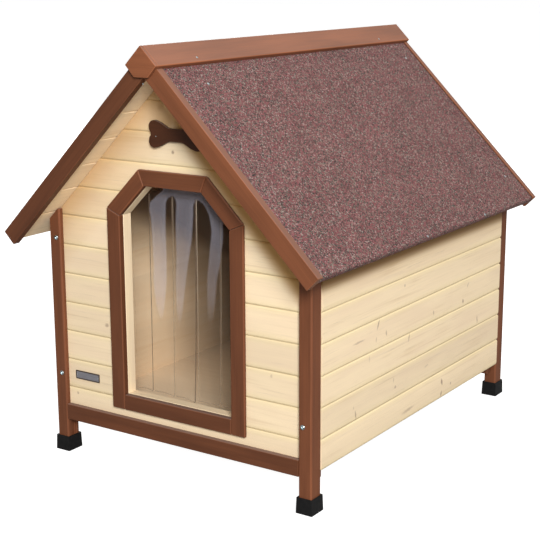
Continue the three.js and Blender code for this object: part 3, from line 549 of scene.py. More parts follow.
def brushed_aluminium():
    """Brushed aluminium sheet: grey, with fine brushing lines along the plate and a dark pressed rim."""
    material, tree, shader = blank("brushed aluminium")
    place = add(tree, "ShaderNodeTexCoord").outputs["Object"]
    lines = add(tree, "ShaderNodeTexNoise", {
        "Vector": stretched(tree, place, 40 * MM, 0.8 * MM), "Scale": 1.0, "Detail": 3.0}).outputs[0]
    shade = add(tree, "ShaderNodeValToRGB", {0: lines},
                stops=[(0.30, linear("#97959b")), (0.70, linear("#bbb9c0"))]).outputs[0]
    lowest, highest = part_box("name_plate")
    middle = (lowest + highest) / 2
    own = add(tree, "ShaderNodeVectorMath", {0: place, 1: middle}, operation="SUBTRACT").outputs[0]
    size = add(tree, "ShaderNodeVectorMath", {0: own}, operation="ABSOLUTE").outputs[0]
    across, _, up = add(tree, "ShaderNodeSeparateXYZ", {0: size}).outputs
    rim = 3 * MM
    limits = ((highest.x - lowest.x) / 2 - rim, (highest.z - lowest.z) / 2 - rim)
    beside, above = (
        add(tree, "ShaderNodeMath", {0: distance, 1: limit}, operation="GREATER_THAN").outputs[0]
        for distance, limit in zip((across, up), limits))
    border = add(tree, "ShaderNodeMath", {0: beside, 1: above}, operation="MAXIMUM").outputs[0]
    shade = add(tree, "ShaderNodeMix", {
        0: border, 6: shade, 7: linear("#665a52")}, data_type="RGBA").outputs[2]
    rough = add(tree, "ShaderNodeMapRange", {0: lines, 3: 0.34, 4: 0.5}).outputs[0]
    plug(tree, shader, {"Base Color": shade, "Roughness": rough, "Metallic": 0.9})
    return material


def clear_pvc():
    """Clear soft PVC sheet: glossy, almost clear, and whitened by haze where it was bent and clamped, with a
    painted reflection in lobes over the haze; painted shade keeps it bluish in the clamp and painted light
    makes it paler down the strip. Its cut edges are painted as a dark line of shade and a pale highlight.
    It scatters light forwards, so it casts no shade. Haze and edges come from the piece's own attributes."""
    material, tree, shader = blank("clear soft PVC")
    haze_and_reflection, painted_dark_rim, painted_pale_rim, painted_haze_light = (
        add(tree, "ShaderNodeAttribute", attribute_name=name).outputs["Fac"]
        for name in ("haze_and_reflection", "painted_dark_rim", "painted_pale_rim", "painted_haze_light"))
    # Alpha of the haze with its painted reflection.
    alpha = add(tree, "ShaderNodeMapRange", {0: haze_and_reflection, 3: 0.02, 4: 0.26}).outputs[0]
    # The cut edges are painted: a dark line of shade and a pale highlight.
    for rim in (painted_dark_rim, painted_pale_rim):
        edge = add(tree, "ShaderNodeMath", {0: rim, 1: 0.6}, operation="MULTIPLY").outputs[0]
        alpha = add(tree, "ShaderNodeMath", {0: alpha, 1: edge}, operation="MAXIMUM").outputs[0]
    # The haze's colour: painted shade keeps it bluish and darker in the clamp, painted light makes it paler
    # lower down.
    cloud = add(tree, "ShaderNodeValToRGB", {0: painted_haze_light}, stops=[
        (0.0, linear("#a29ea8")), (0.35, linear("#b8b4be")), (1.0, linear("#dccfd2"))]).outputs[0]
    haze_and_reflection_share = add(tree, "ShaderNodeMapRange", {0: haze_and_reflection, 1: 0.0, 2: 0.3}).outputs[0]
    shade = linear("#b79f86")
    for amount, tint in ((haze_and_reflection_share, cloud), (painted_dark_rim, linear("#3c241a")), (painted_pale_rim, linear("#d8c9b4"))):
        shade = add(tree, "ShaderNodeMix", {0: amount, 6: shade, 7: tint}, data_type="RGBA").outputs[2]
    shadow = add(tree, "ShaderNodeLightPath").outputs["Is Shadow Ray"]
    passing = add(tree, "ShaderNodeMath", {0: 1.0, 1: shadow}, operation="SUBTRACT").outputs[0]
    alpha = add(tree, "ShaderNodeMath", {0: alpha, 1: passing}, operation="MULTIPLY").outputs[0]
    plug(tree, shader, {"Base Color": shade, "Alpha": alpha, "Roughness": 0.12, "IOR": 1.53})
    return material


# ------------------------------------------------------------------ mesh helpers
def mesh_object(name, points, faces):
    """A mesh object from an array of points and lists of faces."""
    mesh = bpy.data.meshes.new(name)
    mesh.from_pydata(points.reshape(-1, 3).tolist(), [], faces)
    mesh.update()
    made = bpy.data.objects.new(name, mesh)
    bpy.context.scene.collection.objects.link(made)
    return made


def grid_faces(rows, columns, wrap=False):
    """Quads of a grid of rows by columns, closed across the last column when it wraps."""
    last = columns if wrap else columns - 1
    i, j = np.meshgrid(np.arange(rows - 1), np.arange(last), indexing="ij")
    k = (j + 1) % columns
    quads = np.stack([i * columns + j, i * columns + k, (i + 1) * columns + k, (i + 1) * columns + j], -1)
    return quads.reshape(-1, 4).tolist()


def turned(name, radii, heights, facets, place, axis, hexagon_rings=0):
    """A turned piece: ring i has the radius r_i at the height h_i on the axis, and the angle runs round.
    In the first rings the radius follows a hexagon, r cos(30) / cos(a mod 60 - 30), for a socket."""
    angle = np.linspace(0, 2 * math.pi, facets, endpoint=False)
    radius = np.repeat(np.array(radii)[:, None], facets, 1)
    hexagon = math.cos(math.pi / 6) / np.cos(np.mod(angle, math.pi / 3) - math.pi / 6)
    radius[:hexagon_rings] *= hexagon
    height = np.repeat(np.array(heights)[:, None], facets, 1)
    local = np.stack([radius * np.cos(angle), radius * np.sin(angle), height], -1)
    turn = np.array(Vector((0, 0, 1)).rotation_difference(Vector(axis)).to_matrix())
    points = local @ turn.T + np.array(place)
    rows = len(radii)
    caps = [list(range(facets))[::-1], list(range((rows - 1) * facets, rows * facets))]
    made = mesh_object(name, points, grid_faces(rows, facets, wrap=True) + caps)
    outward(made)
    return made


def outward(made):
    """Turns all faces outwards."""
    edit = bmesh.new()
    edit.from_mesh(made.data)
    bmesh.ops.recalc_face_normals(edit, faces=edit.faces)
    edit.to_mesh(made.data)
    edit.free()


def smooth_faces(made):
    made.data.polygons.foreach_set("use_smooth", [True] * len(made.data.polygons))


def smooth(made, angle):
    """Smooth shading, with creases above the angle in degrees."""
    smooth_faces(made)
    made.data.set_sharp_from_angle(angle=math.radians(angle))


def dress(made, material, body="house", nodes=()):
    """Gives a finished piece its material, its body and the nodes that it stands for."""
    made.data.materials.clear()
    made.data.materials.append(material)
    if body:
        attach(made, body)
    if nodes:
        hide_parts(*nodes)
    return made


def store(made, name, values):
    """Stores one value for each point of a piece, or the same value on all of them."""
    attribute = made.data.attributes.new(name, "FLOAT", "POINT")
    spread = np.broadcast_to(np.asarray(values, np.float32).ravel(), len(made.data.vertices))
    attribute.data.foreach_set("value", np.ascontiguousarray(spread))


piece_numbers = np.random.default_rng(SEED)


def eased(node, material, radius, segments=2, tone=1.0, edge_material=None, reshape=None):
    """Stands for a solid with the same shape, its edges eased by a radius as sanding leaves them. Where a
    `reshape` is given, it first moves the points."""
    made = bpy.data.objects.new("eased_" + node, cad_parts[node].data.copy())
    bpy.context.scene.collection.objects.link(made)
    edit = bmesh.new()
    edit.from_mesh(made.data)
    bmesh.ops.remove_doubles(edit, verts=edit.verts, dist=0.01 * MM)
    bmesh.ops.dissolve_limit(edit, angle_limit=math.radians(1), verts=edit.verts, edges=edit.edges)
    edit.to_mesh(made.data)
    edit.free()
    for name in [a.name for a in made.data.attributes if a.name.startswith(("custom_normal", "UVMap"))]:
        made.data.attributes.remove(made.data.attributes[name])
    if reshape:
        points = np.empty(len(made.data.vertices) * 3)
        made.data.vertices.foreach_get("co", points)
        made.data.vertices.foreach_set("co", reshape(points.reshape(-1, 3)).ravel())
        made.data.update()
    smooth_faces(made)
    store(made, "piece_number", piece_numbers.uniform(0, HIGHEST_NUMBER))
    store(made, "stain_tone", tone)
    bevel = made.modifiers.new("edges", "BEVEL")
    bevel.width = radius
    bevel.segments = segments
    bevel.limit_method = "ANGLE"
    bevel.angle_limit = math.radians(20)
    bevel.harden_normals = True
    dress(made, material, nodes=[node])
    if edge_material:
        made.data.materials.append(edge_material)
        bevel.material = 1


def worn_joints(axis, face):
    """Fills the V joints on a wall's face with lacquer: the points at their bottom move closer to the face,
    along the axis that is square to it."""
    def reshape(points):
        behind = np.abs(points[:, axis] - face)
        bottoms = np.abs(behind - JOINT_DEPTH) < 0.3 * MM
        points[bottoms, axis] = face - math.copysign(FILLED_JOINT, face)
        return points
    return reshape


def softer_bone(points):
    """Draws the bone's lobes a tenth closer to its middle line, more and more from 0.45 to 0.65 of its half
    length, and leaves the notch between two lobes 0.35 of its depth."""
    lowest, highest = (np.array(corner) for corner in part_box("bone_ornament"))
    middle = (lowest + highest) / 2
    half = (highest - lowest) / 2
    across = (points[:, 0] - middle[0]) / half[0]
    up = points[:, 2] - middle[2]
    at_end = np.clip((np.abs(across) - 0.45) / 0.2, 0, 1)
    lobe = half[2] / 2
    notch = (np.abs(up) < lobe) & (np.abs(across) > 0.7)
    shallow = np.sign(across) * (1 - (1 - np.abs(across)) * 0.35)
    points[:, 0] = middle[0] + half[0] * np.where(notch, shallow, across)
    points[:, 2] = middle[2] + up * (1 - 0.1 * at_end)
    return points


# ------------------------------------------------------------------ operators
materials_made = {}


def finish_once(name, make):
    """A material that is made when it is first asked for, and shared after that."""
    if name not in materials_made:
        materials_made[name] = make()
    return materials_made[name]


def brown(grain, wear=1.0):
    """The brown stained timber for a piece whose grain runs as named."""
    colour = [*bpy.context.scene.dog_house_colours.brown, 1]
    return finish_once(f"brown {grain} {wear}", lambda: brown_timber(grain, colour, wear))


def brown_bar(node, grain, tone, radius=None):
    """A brown piece with its edges rubbed pale and given a painted highlight."""
    radius = radius or bpy.context.scene.dog_house_sizes.edge_radius
    eased(node, brown(grain), radius, tone=tone, edge_material=brown(grain, 1.3))


def cream(grain, wall=None):
    """The cream lacquered timber for a piece whose grain runs as named, or for the boards of one wall."""
    colour = [*bpy.context.scene.dog_house_colours.cream, 1]
    return finish_once(f"cream {grain} {wall}", lambda: cream_timber(grain, colour, wall))


def steel():
    """The plated steel that all bolts, screws and nails share."""
    return finish_once("steel", zinc_plated_steel)


class DOGHOUSE_OT_posts(bpy.types.Operator):
    """Four corner posts and the rails between them, in brown stained spruce"""
    bl_idname = "doghouse.posts"
    bl_label = "Posts and rails"

    def execute(self, context):
        for end in ("front", "rear"):
            for side in ("left", "right"):
                brown_bar(f"post_{end}_{side}", "z", tone=1.09)
            brown_bar(f"bottom_rail_{end}", "x", tone=0.86, radius=3 * MM)
            brown_bar(f"floor_bearer_{end}", "x", tone=0.88)
        return {"FINISHED"}


class DOGHOUSE_OT_feet(bpy.types.Operator):
    """Rubber caps under the posts"""
    bl_idname = "doghouse.feet"
    bl_label = "Rubber feet"

    def execute(self, context):
        colour = [*context.scene.dog_house_colours.rubber, 1]
        material = moulded_rubber(colour)
        for end in ("front", "rear"):
            for side in ("left", "right"):
                eased(f"foot_cap_{end}_{side}", material, radius=1.0 * MM, segments=3)
        return {"FINISHED"}


class DOGHOUSE_OT_wall_boards(bpy.types.Operator):
    """Tongued boards of the four walls, in cream lacquered spruce"""
    bl_idname = "doghouse.wall_boards"
    bl_label = "Wall boards"

    def execute(self, context):
        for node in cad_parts:
            if node.startswith("front_board") or node == "front_gable_boards":
                eased(node, cream("x", "front"), radius=0.4 * MM,
                      reshape=worn_joints(1, low("front_board_01").y))
        eased("rear_wall_boards", cream("x", "rear"), radius=0.9 * MM,
              reshape=worn_joints(1, high("rear_wall_boards").y))
        for side, face in (("left", low("left_wall_boards").x), ("right", high("right_wall_boards").x)):
            eased(f"{side}_wall_boards", cream("y", side), radius=1.2 * MM,
                  reshape=worn_joints(0, face))
        return {"FINISHED"}


class DOGHOUSE_OT_floor(bpy.types.Operator):
    """Plywood floor panel"""
    bl_idname = "doghouse.floor"
    bl_label = "Floor panel"

    def execute(self, context):
        eased("floor_panel", birch_plywood(), radius=0.6 * MM)
        return {"FINISHED"}


class DOGHOUSE_OT_door_frame(bpy.types.Operator):
    """Mitred door frame and the cream lining ring behind it"""
    bl_idname = "doghouse.door_frame"
    bl_label = "Door frame"

    def execute(self, context):
        grains = {"left": "z", "right": "z", "top": "x", "sill": "x",
                  "corner_left": "left", "corner_right": "right"}
        tones = {"left": 0.90, "right": 0.94, "sill": 0.84}
        for name, grain in grains.items():
            brown_bar(f"door_frame_{name}", grain, tone=tones.get(name, 1.0), radius=2.5 * MM)
        eased("door_lining", cream("z"), radius=1.0 * MM, tone=1.09)
        return {"FINISHED"}


class DOGHOUSE_OT_roof_boards(bpy.types.Operator):
    """Roof boards under the felt, barge boards on the gable ends and the ridge"""
    bl_idname = "doghouse.roof_boards"
    bl_label = "Roof boards"

    def execute(self, context):
        for side in ("left", "right"):
            # The decks are a little paler, tone 1.06: painted light on their undersides under the overhangs.
            eased(f"roof_deck_{side}", cream("y"), radius=0.8 * MM, tone=1.06)
            brown_bar(f"ridge_board_{side}", "y", tone=1.72)
            for end in ("front", "rear"):
                brown_bar(f"barge_board_{end}_{side}", side, tone=1.32 if side == "right" else 0.82)
        brown_bar("ridge_end_block", "x", tone=1.70)
        return {"FINISHED"}


class DOGHOUSE_OT_roof_felt(bpy.types.Operator):
    """Mineral felt on both slopes, turned down over the eaves"""
    bl_idname = "doghouse.roof_felt"
    bl_label = "Roof felt"

    def execute(self, context):
        red = [*context.scene.dog_house_colours.felt_red, 1]
        material = mineral_felt(red)
        for side in ("left", "right"):
            dress(felt_sheet(side), material, nodes=[f"roof_felt_{side}"])
        return {"FINISHED"}


def felt_sheet(side):
    """A felt sheet: its profile goes straight down the slope, round a quarter circle and down the lip, and
    is carried along the house. Low waves lift it by the product of two sines, least near its edges."""
    lowest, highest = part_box(f"roof_felt_{side}")
    end = EAVE_X * math.sqrt(2)
    bend_start = end - FELT_BEND
    turn = np.radians(np.linspace(90, 0, 10))
    lip = np.linspace(-FELT_DROP - FELT_BEND, -FELT_LIP, 4)[1:]
    run = np.concatenate([
        np.linspace(FELT_DROP + 0.2 * MM, bend_start, FELT_STEPS)[:-1], bend_start + FELT_BEND * np.cos(turn),
        np.full(len(lip), end)])
    rise = np.concatenate([
        np.full(FELT_STEPS - 1, -FELT_DROP), -FELT_DROP - FELT_BEND + FELT_BEND * np.sin(turn), lip])
    y = np.linspace(lowest.y, highest.y, 120)
    s, v = np.meshgrid(run, y, indexing="ij")
    waves = 0.5 * (1 + np.sin(s * 21 + v * 6)) * 0.5 * (1 + np.sin(v * 17 - s * 5))     # radians a metre
    calm = np.clip((bend_start - s) / (50 * MM), 0, 1) * np.clip((s - 70 * MM) / (50 * MM), 0, 1)
    calm = calm * np.clip((v - lowest.y) / (30 * MM), 0, 1) * np.clip((highest.y - v) / (30 * MM), 0, 1)
    h = rise[:, None] + FELT_WAVE * waves * calm
    sign = 1 if side == "right" else -1
    slope = math.sqrt(0.5)
    points = np.stack([sign * (s + h) * slope, v, ROOF_APEX + (h - s) * slope], -1)
    faces = np.array(grid_faces(len(run), len(y)))
    made = mesh_object(f"felt_{side}", points, (faces[:, ::-1] if side == "right" else faces).tolist())
    smooth(made, 60)
    sheet = made.modifiers.new("thickness", "SOLIDIFY")
    sheet.thickness = FELT_THICKNESS
    sheet.offset = -1
    return made


class DOGHOUSE_OT_curtain(bpy.types.Operator):
    """Slit curtain of clear plastic: the uncut band, its wooden clamp and five hanging strips"""
    bl_idname = "doghouse.curtain"
    bl_label = "Door curtain"

    def execute(self, context):
        material = clear_pvc()
        bow = context.scene.dog_house_sizes.strip_bow
        dress(curtain_band(), material, nodes=["curtain_header"])
        for i in STRIPS:
            strip = curtain_strip(i, bow)
            dress(strip, material, body=None)
            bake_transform(strip, "house", f"strip_{i}",
                     start=(0, SHEET_Y, SLIT_END_Z + 1 * MM), end=(0, SHEET_Y, SLIT_END_Z - 40 * MM))
            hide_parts(f"curtain_strip_{i}")
        eased("curtain_clamp_strip", cream("x"), radius=1 * MM)
        return {"FINISHED"}


# Strength of each of the three lobes of haze and painted reflection in its lower part, weaker on the
# right where shade falls, and their left and right edges, as (height, place) in mm from the top down.
# Over the slits they run together, and each ends in a tip.
LOBE_STRENGTHS = (0.95, 0.68, 0.4)
LOBES = (
    (((731, -20), (683, -56), (666, -78), (647, -99), (630, -102), (612, -97), (570, -94), (495, -91),
      (464, -93), (432, -90), (410, -87), (383, -79), (364, -71)),
     ((672, -10), (669, -36), (666, -44), (658, -51), (648, -53), (606, -54), (521, -53), (469, -54),
      (425, -59), (396, -63), (374, -68), (364, -71))),
    (((672, -60), (669, -36), (668, -28), (663, -23), (651, -21), (630, -23), (598, -24), (525, -23),
      (472, -27), (430, -26), (402, -26), (377, -22), (360, -18)),
     ((669, 66), (666, 44), (665, 37), (660, 30), (655, 26), (635, 26), (604, 24), (572, 21), (540, 15),
      (508, 9), (477, 4), (444, -1), (411, -6), (383, -10), (360, -18))),
    (((669, 20), (666, 44), (662, 53), (651, 63), (636, 72), (620, 76), (600, 79), (579, 77), (558, 74),
      (526, 70), (485, 65), (422, 65), (401, 66), (377, 72)),
     ((672, 160), (655, 135), (640, 122), (623, 109), (582, 109), (551, 103), (530, 100), (509, 96),
      (488, 91), (457, 88), (425, 85), (399, 80), (377, 72))),
)


HAZE_TOP = 700 * MM              # where the haze leaves the clamp and starts to thin out


def haze_and_reflection_at(x, z):
    """Haze and painted reflection at points of the sheet: the strength of a lobe between its edges, with a
    rim that softens from 3 mm at the top to 7 mm at the tips. It rises to 1.5 in the clamp, is a little
    stronger at the rims and thins out towards the tip."""
    down = np.clip((HAZE_TOP - z) / (330 * MM), 0, 1)
    soft = (3 + 4 * down) * MM
    total = np.zeros_like(x)
    for edges, strength in zip(LOBES, LOBE_STRENGTHS):
        left, right = (
            np.interp(z, np.array(edge)[::-1, 0] * MM, np.array(edge)[::-1, 1] * MM) for edge in edges)
        lobe = np.clip((x - left) / soft + 0.5, 0, 1) * np.clip((right - x) / soft + 0.5, 0, 1)
        rim = np.exp(-np.minimum(np.abs(x - left), np.abs(right - x)) / (6 * MM))
        lobe = lobe * np.clip((z - edges[0][-1][0] * MM) / (70 * MM), 0, 1) ** 0.7 * (0.75 + 0.3 * rim)
        total = np.maximum(total, lobe * np.interp(z, (500 * MM, 650 * MM, 720 * MM), (strength, 0.8, 1.5)))
    return total * (1 - 0.25 * down)


def painted_haze_light_at(z):
    """Painted light on the haze: it rises from 0 in the clamp, which lies in shade, to 1 at 30 cm below it.
    """
    return np.clip((HAZE_TOP - z) / (300 * MM), 0, 1)


# How far the lower left and lower right corner of each strip stand forward, in mm, and how strongly its
# left edge shows as a painted pale highlight and its right edge as a painted dark line of shade.
STRIPS = {
    1: (0, 2, 0.0, 0.9),
    2: (0, 5, 0.2, 0.45),
    3: (2, 14, 0.4, 0.9),
    4: (3, 5, 0.75, 0.3),
    5: (4, 0, 0.5, 0.0),
}


def curtain_strip(number, bow):
    """A hanging strip. Across it u runs from -1 to 1 and down it v from 0 to 1. It bulges to the front
    by bow (1 - u^2), more as it leaves the band, its corners stand forward as v^2, and they are quarter
    circles: near the foot the half width is h - c + sqrt(c^2 - d^2), where d is the depth into the corner.
    The foot is cut a little hollow, by 3 mm (1 - u^2) in its last tenth."""
    lowest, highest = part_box(f"curtain_strip_{number}")
    left_forward, right_forward, pale, dark = STRIPS[number]
    half = (highest.x - lowest.x) / 2
    middle = (highest.x + lowest.x) / 2
    drop = SLIT_END_Z - lowest.z
    corner = STRIP_CORNER
    u = np.concatenate([[-1, -0.965], np.linspace(-0.93, 0.93, 31), [0.965, 1]])
    foot = 1 - corner / drop * np.array([1, 0.7, 0.45, 0.25, 0.1, 0])
    down = np.concatenate([np.linspace(0, 1 - corner / drop, 120)[:-1], foot])
    depth = np.clip(down * drop - (drop - corner), 0, corner)
    reach = half - corner + np.sqrt(np.maximum(corner ** 2 - depth ** 2, 0))
    u, v = np.meshgrid(u, down)
    x = middle + u * reach[:, None]
    forward = ((1 - u) * left_forward + (1 + u) * right_forward) / 2 * MM
    y = SHEET_Y - bow * (1 - u ** 2) * np.clip(v * 6, 0, 1) - forward * v ** 2
    z = SLIT_END_Z - v * drop + 3 * MM * (1 - u ** 2) * np.clip(v * 10 - 9, 0, 1)
    strip = mesh_object(f"pvc_strip_{number}", np.stack([x, y, z], -1), grid_faces(*u.shape))
    store(strip, "haze_and_reflection", haze_and_reflection_at(x, z))
    store(strip, "painted_haze_light", painted_haze_light_at(z))
    # Painted light on the cut edges: a dark line of shade along the foot and the right edge, and a pale
    # highlight down the left edge that fades towards the foot.
    painted_foot_line = 0.35 * np.clip((v - 0.994) / 0.002, 0, 1)     # the cut edge at the foot
    store(strip, "painted_dark_rim", np.maximum(dark * np.clip((u - 0.93) / 0.03, 0, 1), painted_foot_line))
    store(strip, "painted_pale_rim", pale * np.clip((-u - 0.93) / 0.03, 0, 1) * (1 - 0.8 * v))
    thicken(strip)
    return strip


def curtain_band():
    """The uncut band: a flat sheet in x and z."""
    lowest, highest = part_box("curtain_header")
    x, z = np.meshgrid(np.linspace(lowest.x, highest.x, 140), np.linspace(highest.z, SLIT_END_Z, 30))
    band = mesh_object("pvc_band", np.stack([x, np.full_like(x, SHEET_Y), z], -1), grid_faces(*x.shape))
    store(band, "haze_and_reflection", haze_and_reflection_at(x, z))
    store(band, "painted_haze_light", painted_haze_light_at(z))
    thicken(band)
    return band


def thicken(made):
    """Gives a plastic sheet its thickness, half to each side, and smooth faces."""
    outward(made)
    smooth_faces(made)
    sheet = made.modifiers.new("thickness", "SOLIDIFY")
    sheet.thickness = SHEET_THICKNESS
    sheet.offset = 0


class DOGHOUSE_OT_ornaments(bpy.types.Operator):
    """Bone in the gable and the bare metal plate"""
    bl_idname = "doghouse.ornaments"
    bl_label = "Bone and plate"

    def execute(self, context):
        # Its deep tone of 0.42 is a darker stain together with painted shade from the roof's overhang.
        eased("bone_ornament", brown("x"), radius=1.5 * MM, segments=3, tone=0.42,
              reshape=softer_bone)
        eased("name_plate", brushed_aluminium(), radius=0.3 * MM)
        return {"FINISHED"}


BOLT_LEVELS = (203 * MM, 545 * MM)
BOLT_INSET = POST_WIDTH * 0.65                   # from the outer side of the post
RIDGE_SCREWS = (-412 * MM, 410 * MM)             # places along the house
RIDGE_SCREW_X = 33.4 * MM
RIDGE_HEIGHT = 8.3 * MM                          # of the ridge boards' face above the barge boards' tops
BARGE_NAIL = (-1.4 * MM, 936 * MM)               # place across the front and height
BONE_NAIL = (-40.8 * MM, 811 * MM)
PLATE_PIN_INSET = 5 * MM
# Nails of each slope: distance from the middle and place along the house, in mm.
FELT_NAILS = ((72.6, -424), (378.5, 501.9), (437, -66), (391.3, -482.5), (72.6, 495), (437, 250))


class DOGHOUSE_OT_fasteners(bpy.types.Operator):
    """Bolts in the posts, screws in the ridge, nails in felt, barge boards and bone, and pins in the plate"""
    bl_idname = "doghouse.fasteners"
    bl_label = "Bolts, screws and nails"

    def execute(self, context):
        sizes = context.scene.dog_house_sizes
        for side in (-1, 1):
            for level in BOLT_LEVELS:
                for end, face in ((-1, BODY_FRONT), (1, BODY_BACK)):
                    place = (side * (BODY_RIGHT - BOLT_INSET), face, level)
                    bolt(f"bolt_{side}_{end}_{level:.3f}", place, (0, end, 0), sizes.bolt_head)
        slope = math.sqrt(0.5)
        for side in (-1, 1):
            outward_axis = (side * slope, 0, slope)
            for y in RIDGE_SCREWS:
                place = on_slope(side, RIDGE_SCREW_X, y, RIDGE_HEIGHT)
                nail(f"ridge_screw_{side}_{y:.3f}", place, outward_axis, diameter=6 * MM)
            for x, y in FELT_NAILS:
                place = on_slope(side, x * MM, y * MM, -FELT_DROP)
                nail(f"felt_nail_{side}_{x}_{y}", place, outward_axis, sizes.nail_head)
        front = (0, -1, 0)
        for name, (x, z), board, diameter in (
                ("barge_nail", BARGE_NAIL, "barge_board_front_left", 4 * MM),
                ("bone_nail", BONE_NAIL, "bone_ornament", 3 * MM)):
            nail(name, (x, low(board).y, z), front, diameter)
        lowest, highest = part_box("name_plate")
        for x in (lowest.x + PLATE_PIN_INSET, highest.x - PLATE_PIN_INSET):
            nail(f"plate_pin_{x:.3f}", (x, lowest.y, (lowest.z + highest.z) / 2), front, diameter=3 * MM)
        return {"FINISHED"}


def on_slope(side, x, y, height):
    """A point of a slope at the distance x from the middle, `height` square above the barge tops."""
    return (side * x, y, ROOF_APEX + height * math.sqrt(2) - x)


def bolt(name, place, axis, diameter):
    """A pan head with a hexagon socket, turned from rings of radius and height."""
    r = diameter / 2
    radii = [0.30 * r, 0.44 * r, 0.46 * r, 0.74 * r, 0.93 * r, 1.0 * r, 0.98 * r]
    heights = [1.2 * MM, 1.2 * MM, 3.6 * MM, 3.3 * MM, 2.3 * MM, 1.0 * MM, 0.0]
    head = turned(name, radii, heights, 24, place, axis, hexagon_rings=3)
    smooth(head, 30)
    dress(head, steel())


def nail(name, place, axis, diameter):
    """A flat domed head, turned from rings of radius and height."""
    r = diameter / 2
    radii = [0.05 * r, 0.55 * r, 0.9 * r, r, r]
    heights = [0.9 * MM, 0.8 * MM, 0.55 * MM, 0.25 * MM, -0.2 * MM]
    head = turned(name, radii, heights, 12, place, axis)
    smooth(head, 40)
    dress(head, steel())


# ------------------------------------------------------------------ stage
LENS = 85.522                       # mm
SENSOR_WIDTH = 36                   # mm
CAMERA_PLACE = (1.7688, -2.7028, 1.1840)
CAMERA_YAW = math.radians(33.968)
CAMERA_PITCH = math.radians(13.396)
CAMERA_ROLL = math.radians(-0.2507)
WHITE = (1, 1, 1, 1)
FLOOR_GREY = (0.4, 0.4, 0.4, 1)
FLOOR_HALF = 30.0                   # metres
# Each lamp: its place, what it faces, the side of its square face in metres and its watts.
LAMPS = {
    "key_lamp": ((4.7, -5.6, 3.77), (0, 0, 0.45), 2.3, 690),
    "top_lamp": ((1.4, 0.6, 3.6), (0, 0, 0.6), 2.4, 40),
    "back_lamp": ((-4.4, 5.2, 2.8), (0, 0, 0.45), 2.3, 330),
}


def camera_turn():
    """Right, up and back axes of the camera, from its yaw, its downward pitch and its roll."""
    yaw, pitch, roll = CAMERA_YAW, CAMERA_PITCH, CAMERA_ROLL
    ahead = Vector((-math.sin(yaw) * math.cos(pitch), math.cos(yaw) * math.cos(pitch), -math.sin(pitch)))
    right = Vector((math.cos(yaw), math.sin(yaw), 0))
    up = right.cross(ahead)
    across = math.cos(roll) * right + math.sin(roll) * up
    above = -math.sin(roll) * right + math.cos(roll) * up
    return Matrix((across, above, -ahead)).transposed()


class DOGHOUSE_OT_stage(bpy.types.Operator):
    """White floor, soft lamps, pale world and the camera"""
    bl_idname = "doghouse.stage"
    bl_label = "Stage"

    def execute(self, context):
        scene = context.scene
        scene.view_settings.view_transform = "Standard"
        build_world(scene)
        build_floor()
        for name, (place, target, size, power) in LAMPS.items():
            soft_lamp(name, place, target, size, power)
        camera = bpy.data.objects.new("camera", bpy.data.cameras.new("camera"))
        scene.collection.objects.link(camera)
        camera.data.lens = LENS
        camera.data.sensor_width = SENSOR_WIDTH
        camera.matrix_world = Matrix.Translation(CAMERA_PLACE) @ camera_turn().to_4x4()
        scene.camera = camera
        return {"FINISHED"}


def seen_directly(tree):
    """1 for the camera's own rays and for those that pass through clear plastic, and 0 for all others."""
    path = add(tree, "ShaderNodeLightPath").outputs
    return add(tree, "ShaderNodeMath", {
        0: path["Is Camera Ray"], 1: path["Is Transmission Ray"]}, operation="MAXIMUM").outputs[0]


def build_world(scene):
    """A soft even sky, brighter in gloss, and plain white for the camera and through clear plastic."""
    world = bpy.data.worlds.new("studio")
    world.use_nodes = True
    tree = world.node_tree
    tree.nodes.clear()
    gloss = add(tree, "ShaderNodeLightPath").outputs["Is Glossy Ray"]
    strength = add(tree, "ShaderNodeMath", {0: gloss, 1: 0.38, 2: 0.15}, operation="MULTIPLY_ADD").outputs[0]
    sky = add(tree, "ShaderNodeBackground", {"Color": WHITE, "Strength": strength}).outputs[0]
    white = add(tree, "ShaderNodeBackground", {"Color": WHITE, "Strength": 1.0}).outputs[0]
    both = add(tree, "ShaderNodeMixShader", {0: seen_directly(tree), 1: sky, 2: white}).outputs[0]
    add(tree, "ShaderNodeOutputWorld", {"Surface": both})
    scene.world = world


def build_floor():
    """A large floor of matt grey. What the camera sees of it is lifted by a glow, so that it is white
    outside the shadow."""
    corners = [(-1, -1, 0), (1, -1, 0), (1, 1, 0), (-1, 1, 0)]
    floor = mesh_object("studio_floor", np.array(corners, float) * FLOOR_HALF, [[0, 1, 2, 3]])
    material = bpy.data.materials.new("white studio floor")
    material.use_nodes = True
    tree = material.node_tree
    tree.nodes.clear()
    matt = add(tree, "ShaderNodeBsdfDiffuse", {"Color": FLOOR_GREY}).outputs[0]
    lift = add(tree, "ShaderNodeEmission", {"Color": WHITE, "Strength": 0.95}).outputs[0]
    nothing = add(tree, "ShaderNodeEmission", {"Strength": 0.0}).outputs[0]
    glow = add(tree, "ShaderNodeMixShader", {0: seen_directly(tree), 1: nothing, 2: lift}).outputs[0]
    both = add(tree, "ShaderNodeAddShader", {0: matt, 1: glow}).outputs[0]
    add(tree, "ShaderNodeOutputMaterial", {"Surface": both})
    floor.data.materials.append(material)


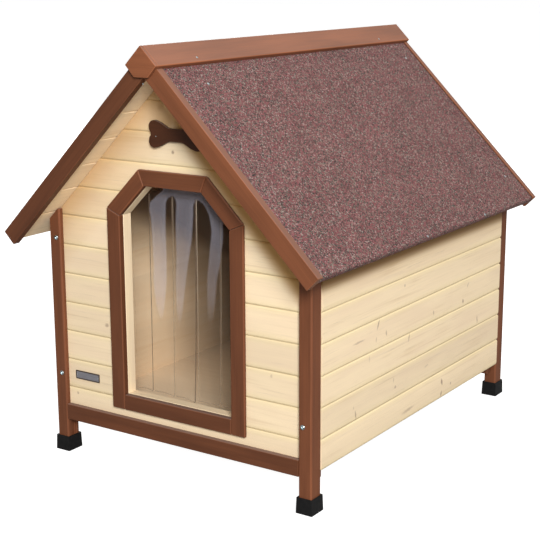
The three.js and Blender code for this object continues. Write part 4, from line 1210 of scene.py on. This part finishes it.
def soft_lamp(name, place, target, size, power):
    """A square soft box that faces the target."""
    lamp = bpy.data.lights.new(name, "AREA")
    lamp.size = size
    lamp.energy = power
    made = bpy.data.objects.new(name, lamp)
    bpy.context.scene.collection.objects.link(made)
    aim = (Vector(target) - Vector(place)).to_track_quat("-Z", "Y")
    made.matrix_world = Matrix.Translation(place) @ aim.to_matrix().to_4x4()


# ------------------------------------------------------------------ panel and registration
OPERATORS = (
    DOGHOUSE_OT_stage, DOGHOUSE_OT_posts, DOGHOUSE_OT_feet, DOGHOUSE_OT_wall_boards, DOGHOUSE_OT_floor,
    DOGHOUSE_OT_door_frame, DOGHOUSE_OT_curtain, DOGHOUSE_OT_roof_boards, DOGHOUSE_OT_roof_felt,
    DOGHOUSE_OT_ornaments, DOGHOUSE_OT_fasteners,
)


class DOGHOUSE_PT_panel(bpy.types.Panel):
    """Lists the pieces of the dog house"""
    bl_label = "Dog house"
    bl_idname = "DOGHOUSE_PT_panel"
    bl_space_type = "VIEW_3D"
    bl_region_type = "UI"
    bl_category = "Dog house"

    def draw(self, context):
        for group in (context.scene.dog_house_sizes, context.scene.dog_house_colours):
            for name in group.__annotations__:
                self.layout.prop(group, name)
        for operator in OPERATORS:
            self.layout.operator(operator.bl_idname)


CLASSES = (DOGHOUSE_PG_colours, DOGHOUSE_PG_sizes, *OPERATORS, DOGHOUSE_PT_panel)


def register():
    for cls in CLASSES:
        bpy.utils.register_class(cls)
    bpy.types.Scene.dog_house_colours = bpy.props.PointerProperty(type=DOGHOUSE_PG_colours)
    bpy.types.Scene.dog_house_sizes = bpy.props.PointerProperty(type=DOGHOUSE_PG_sizes)


def unregister():
    del bpy.types.Scene.dog_house_sizes
    del bpy.types.Scene.dog_house_colours
    for cls in reversed(CLASSES):
        bpy.utils.unregister_class(cls)


def main():
    register()
    bpy.ops.doghouse.stage()
    bpy.ops.doghouse.posts()
    bpy.ops.doghouse.feet()
    bpy.ops.doghouse.wall_boards()
    bpy.ops.doghouse.floor()
    bpy.ops.doghouse.door_frame()
    bpy.ops.doghouse.curtain()
    bpy.ops.doghouse.roof_boards()
    bpy.ops.doghouse.roof_felt()
    bpy.ops.doghouse.ornaments()
    bpy.ops.doghouse.fasteners()


if __name__ == "__main__":
    main()
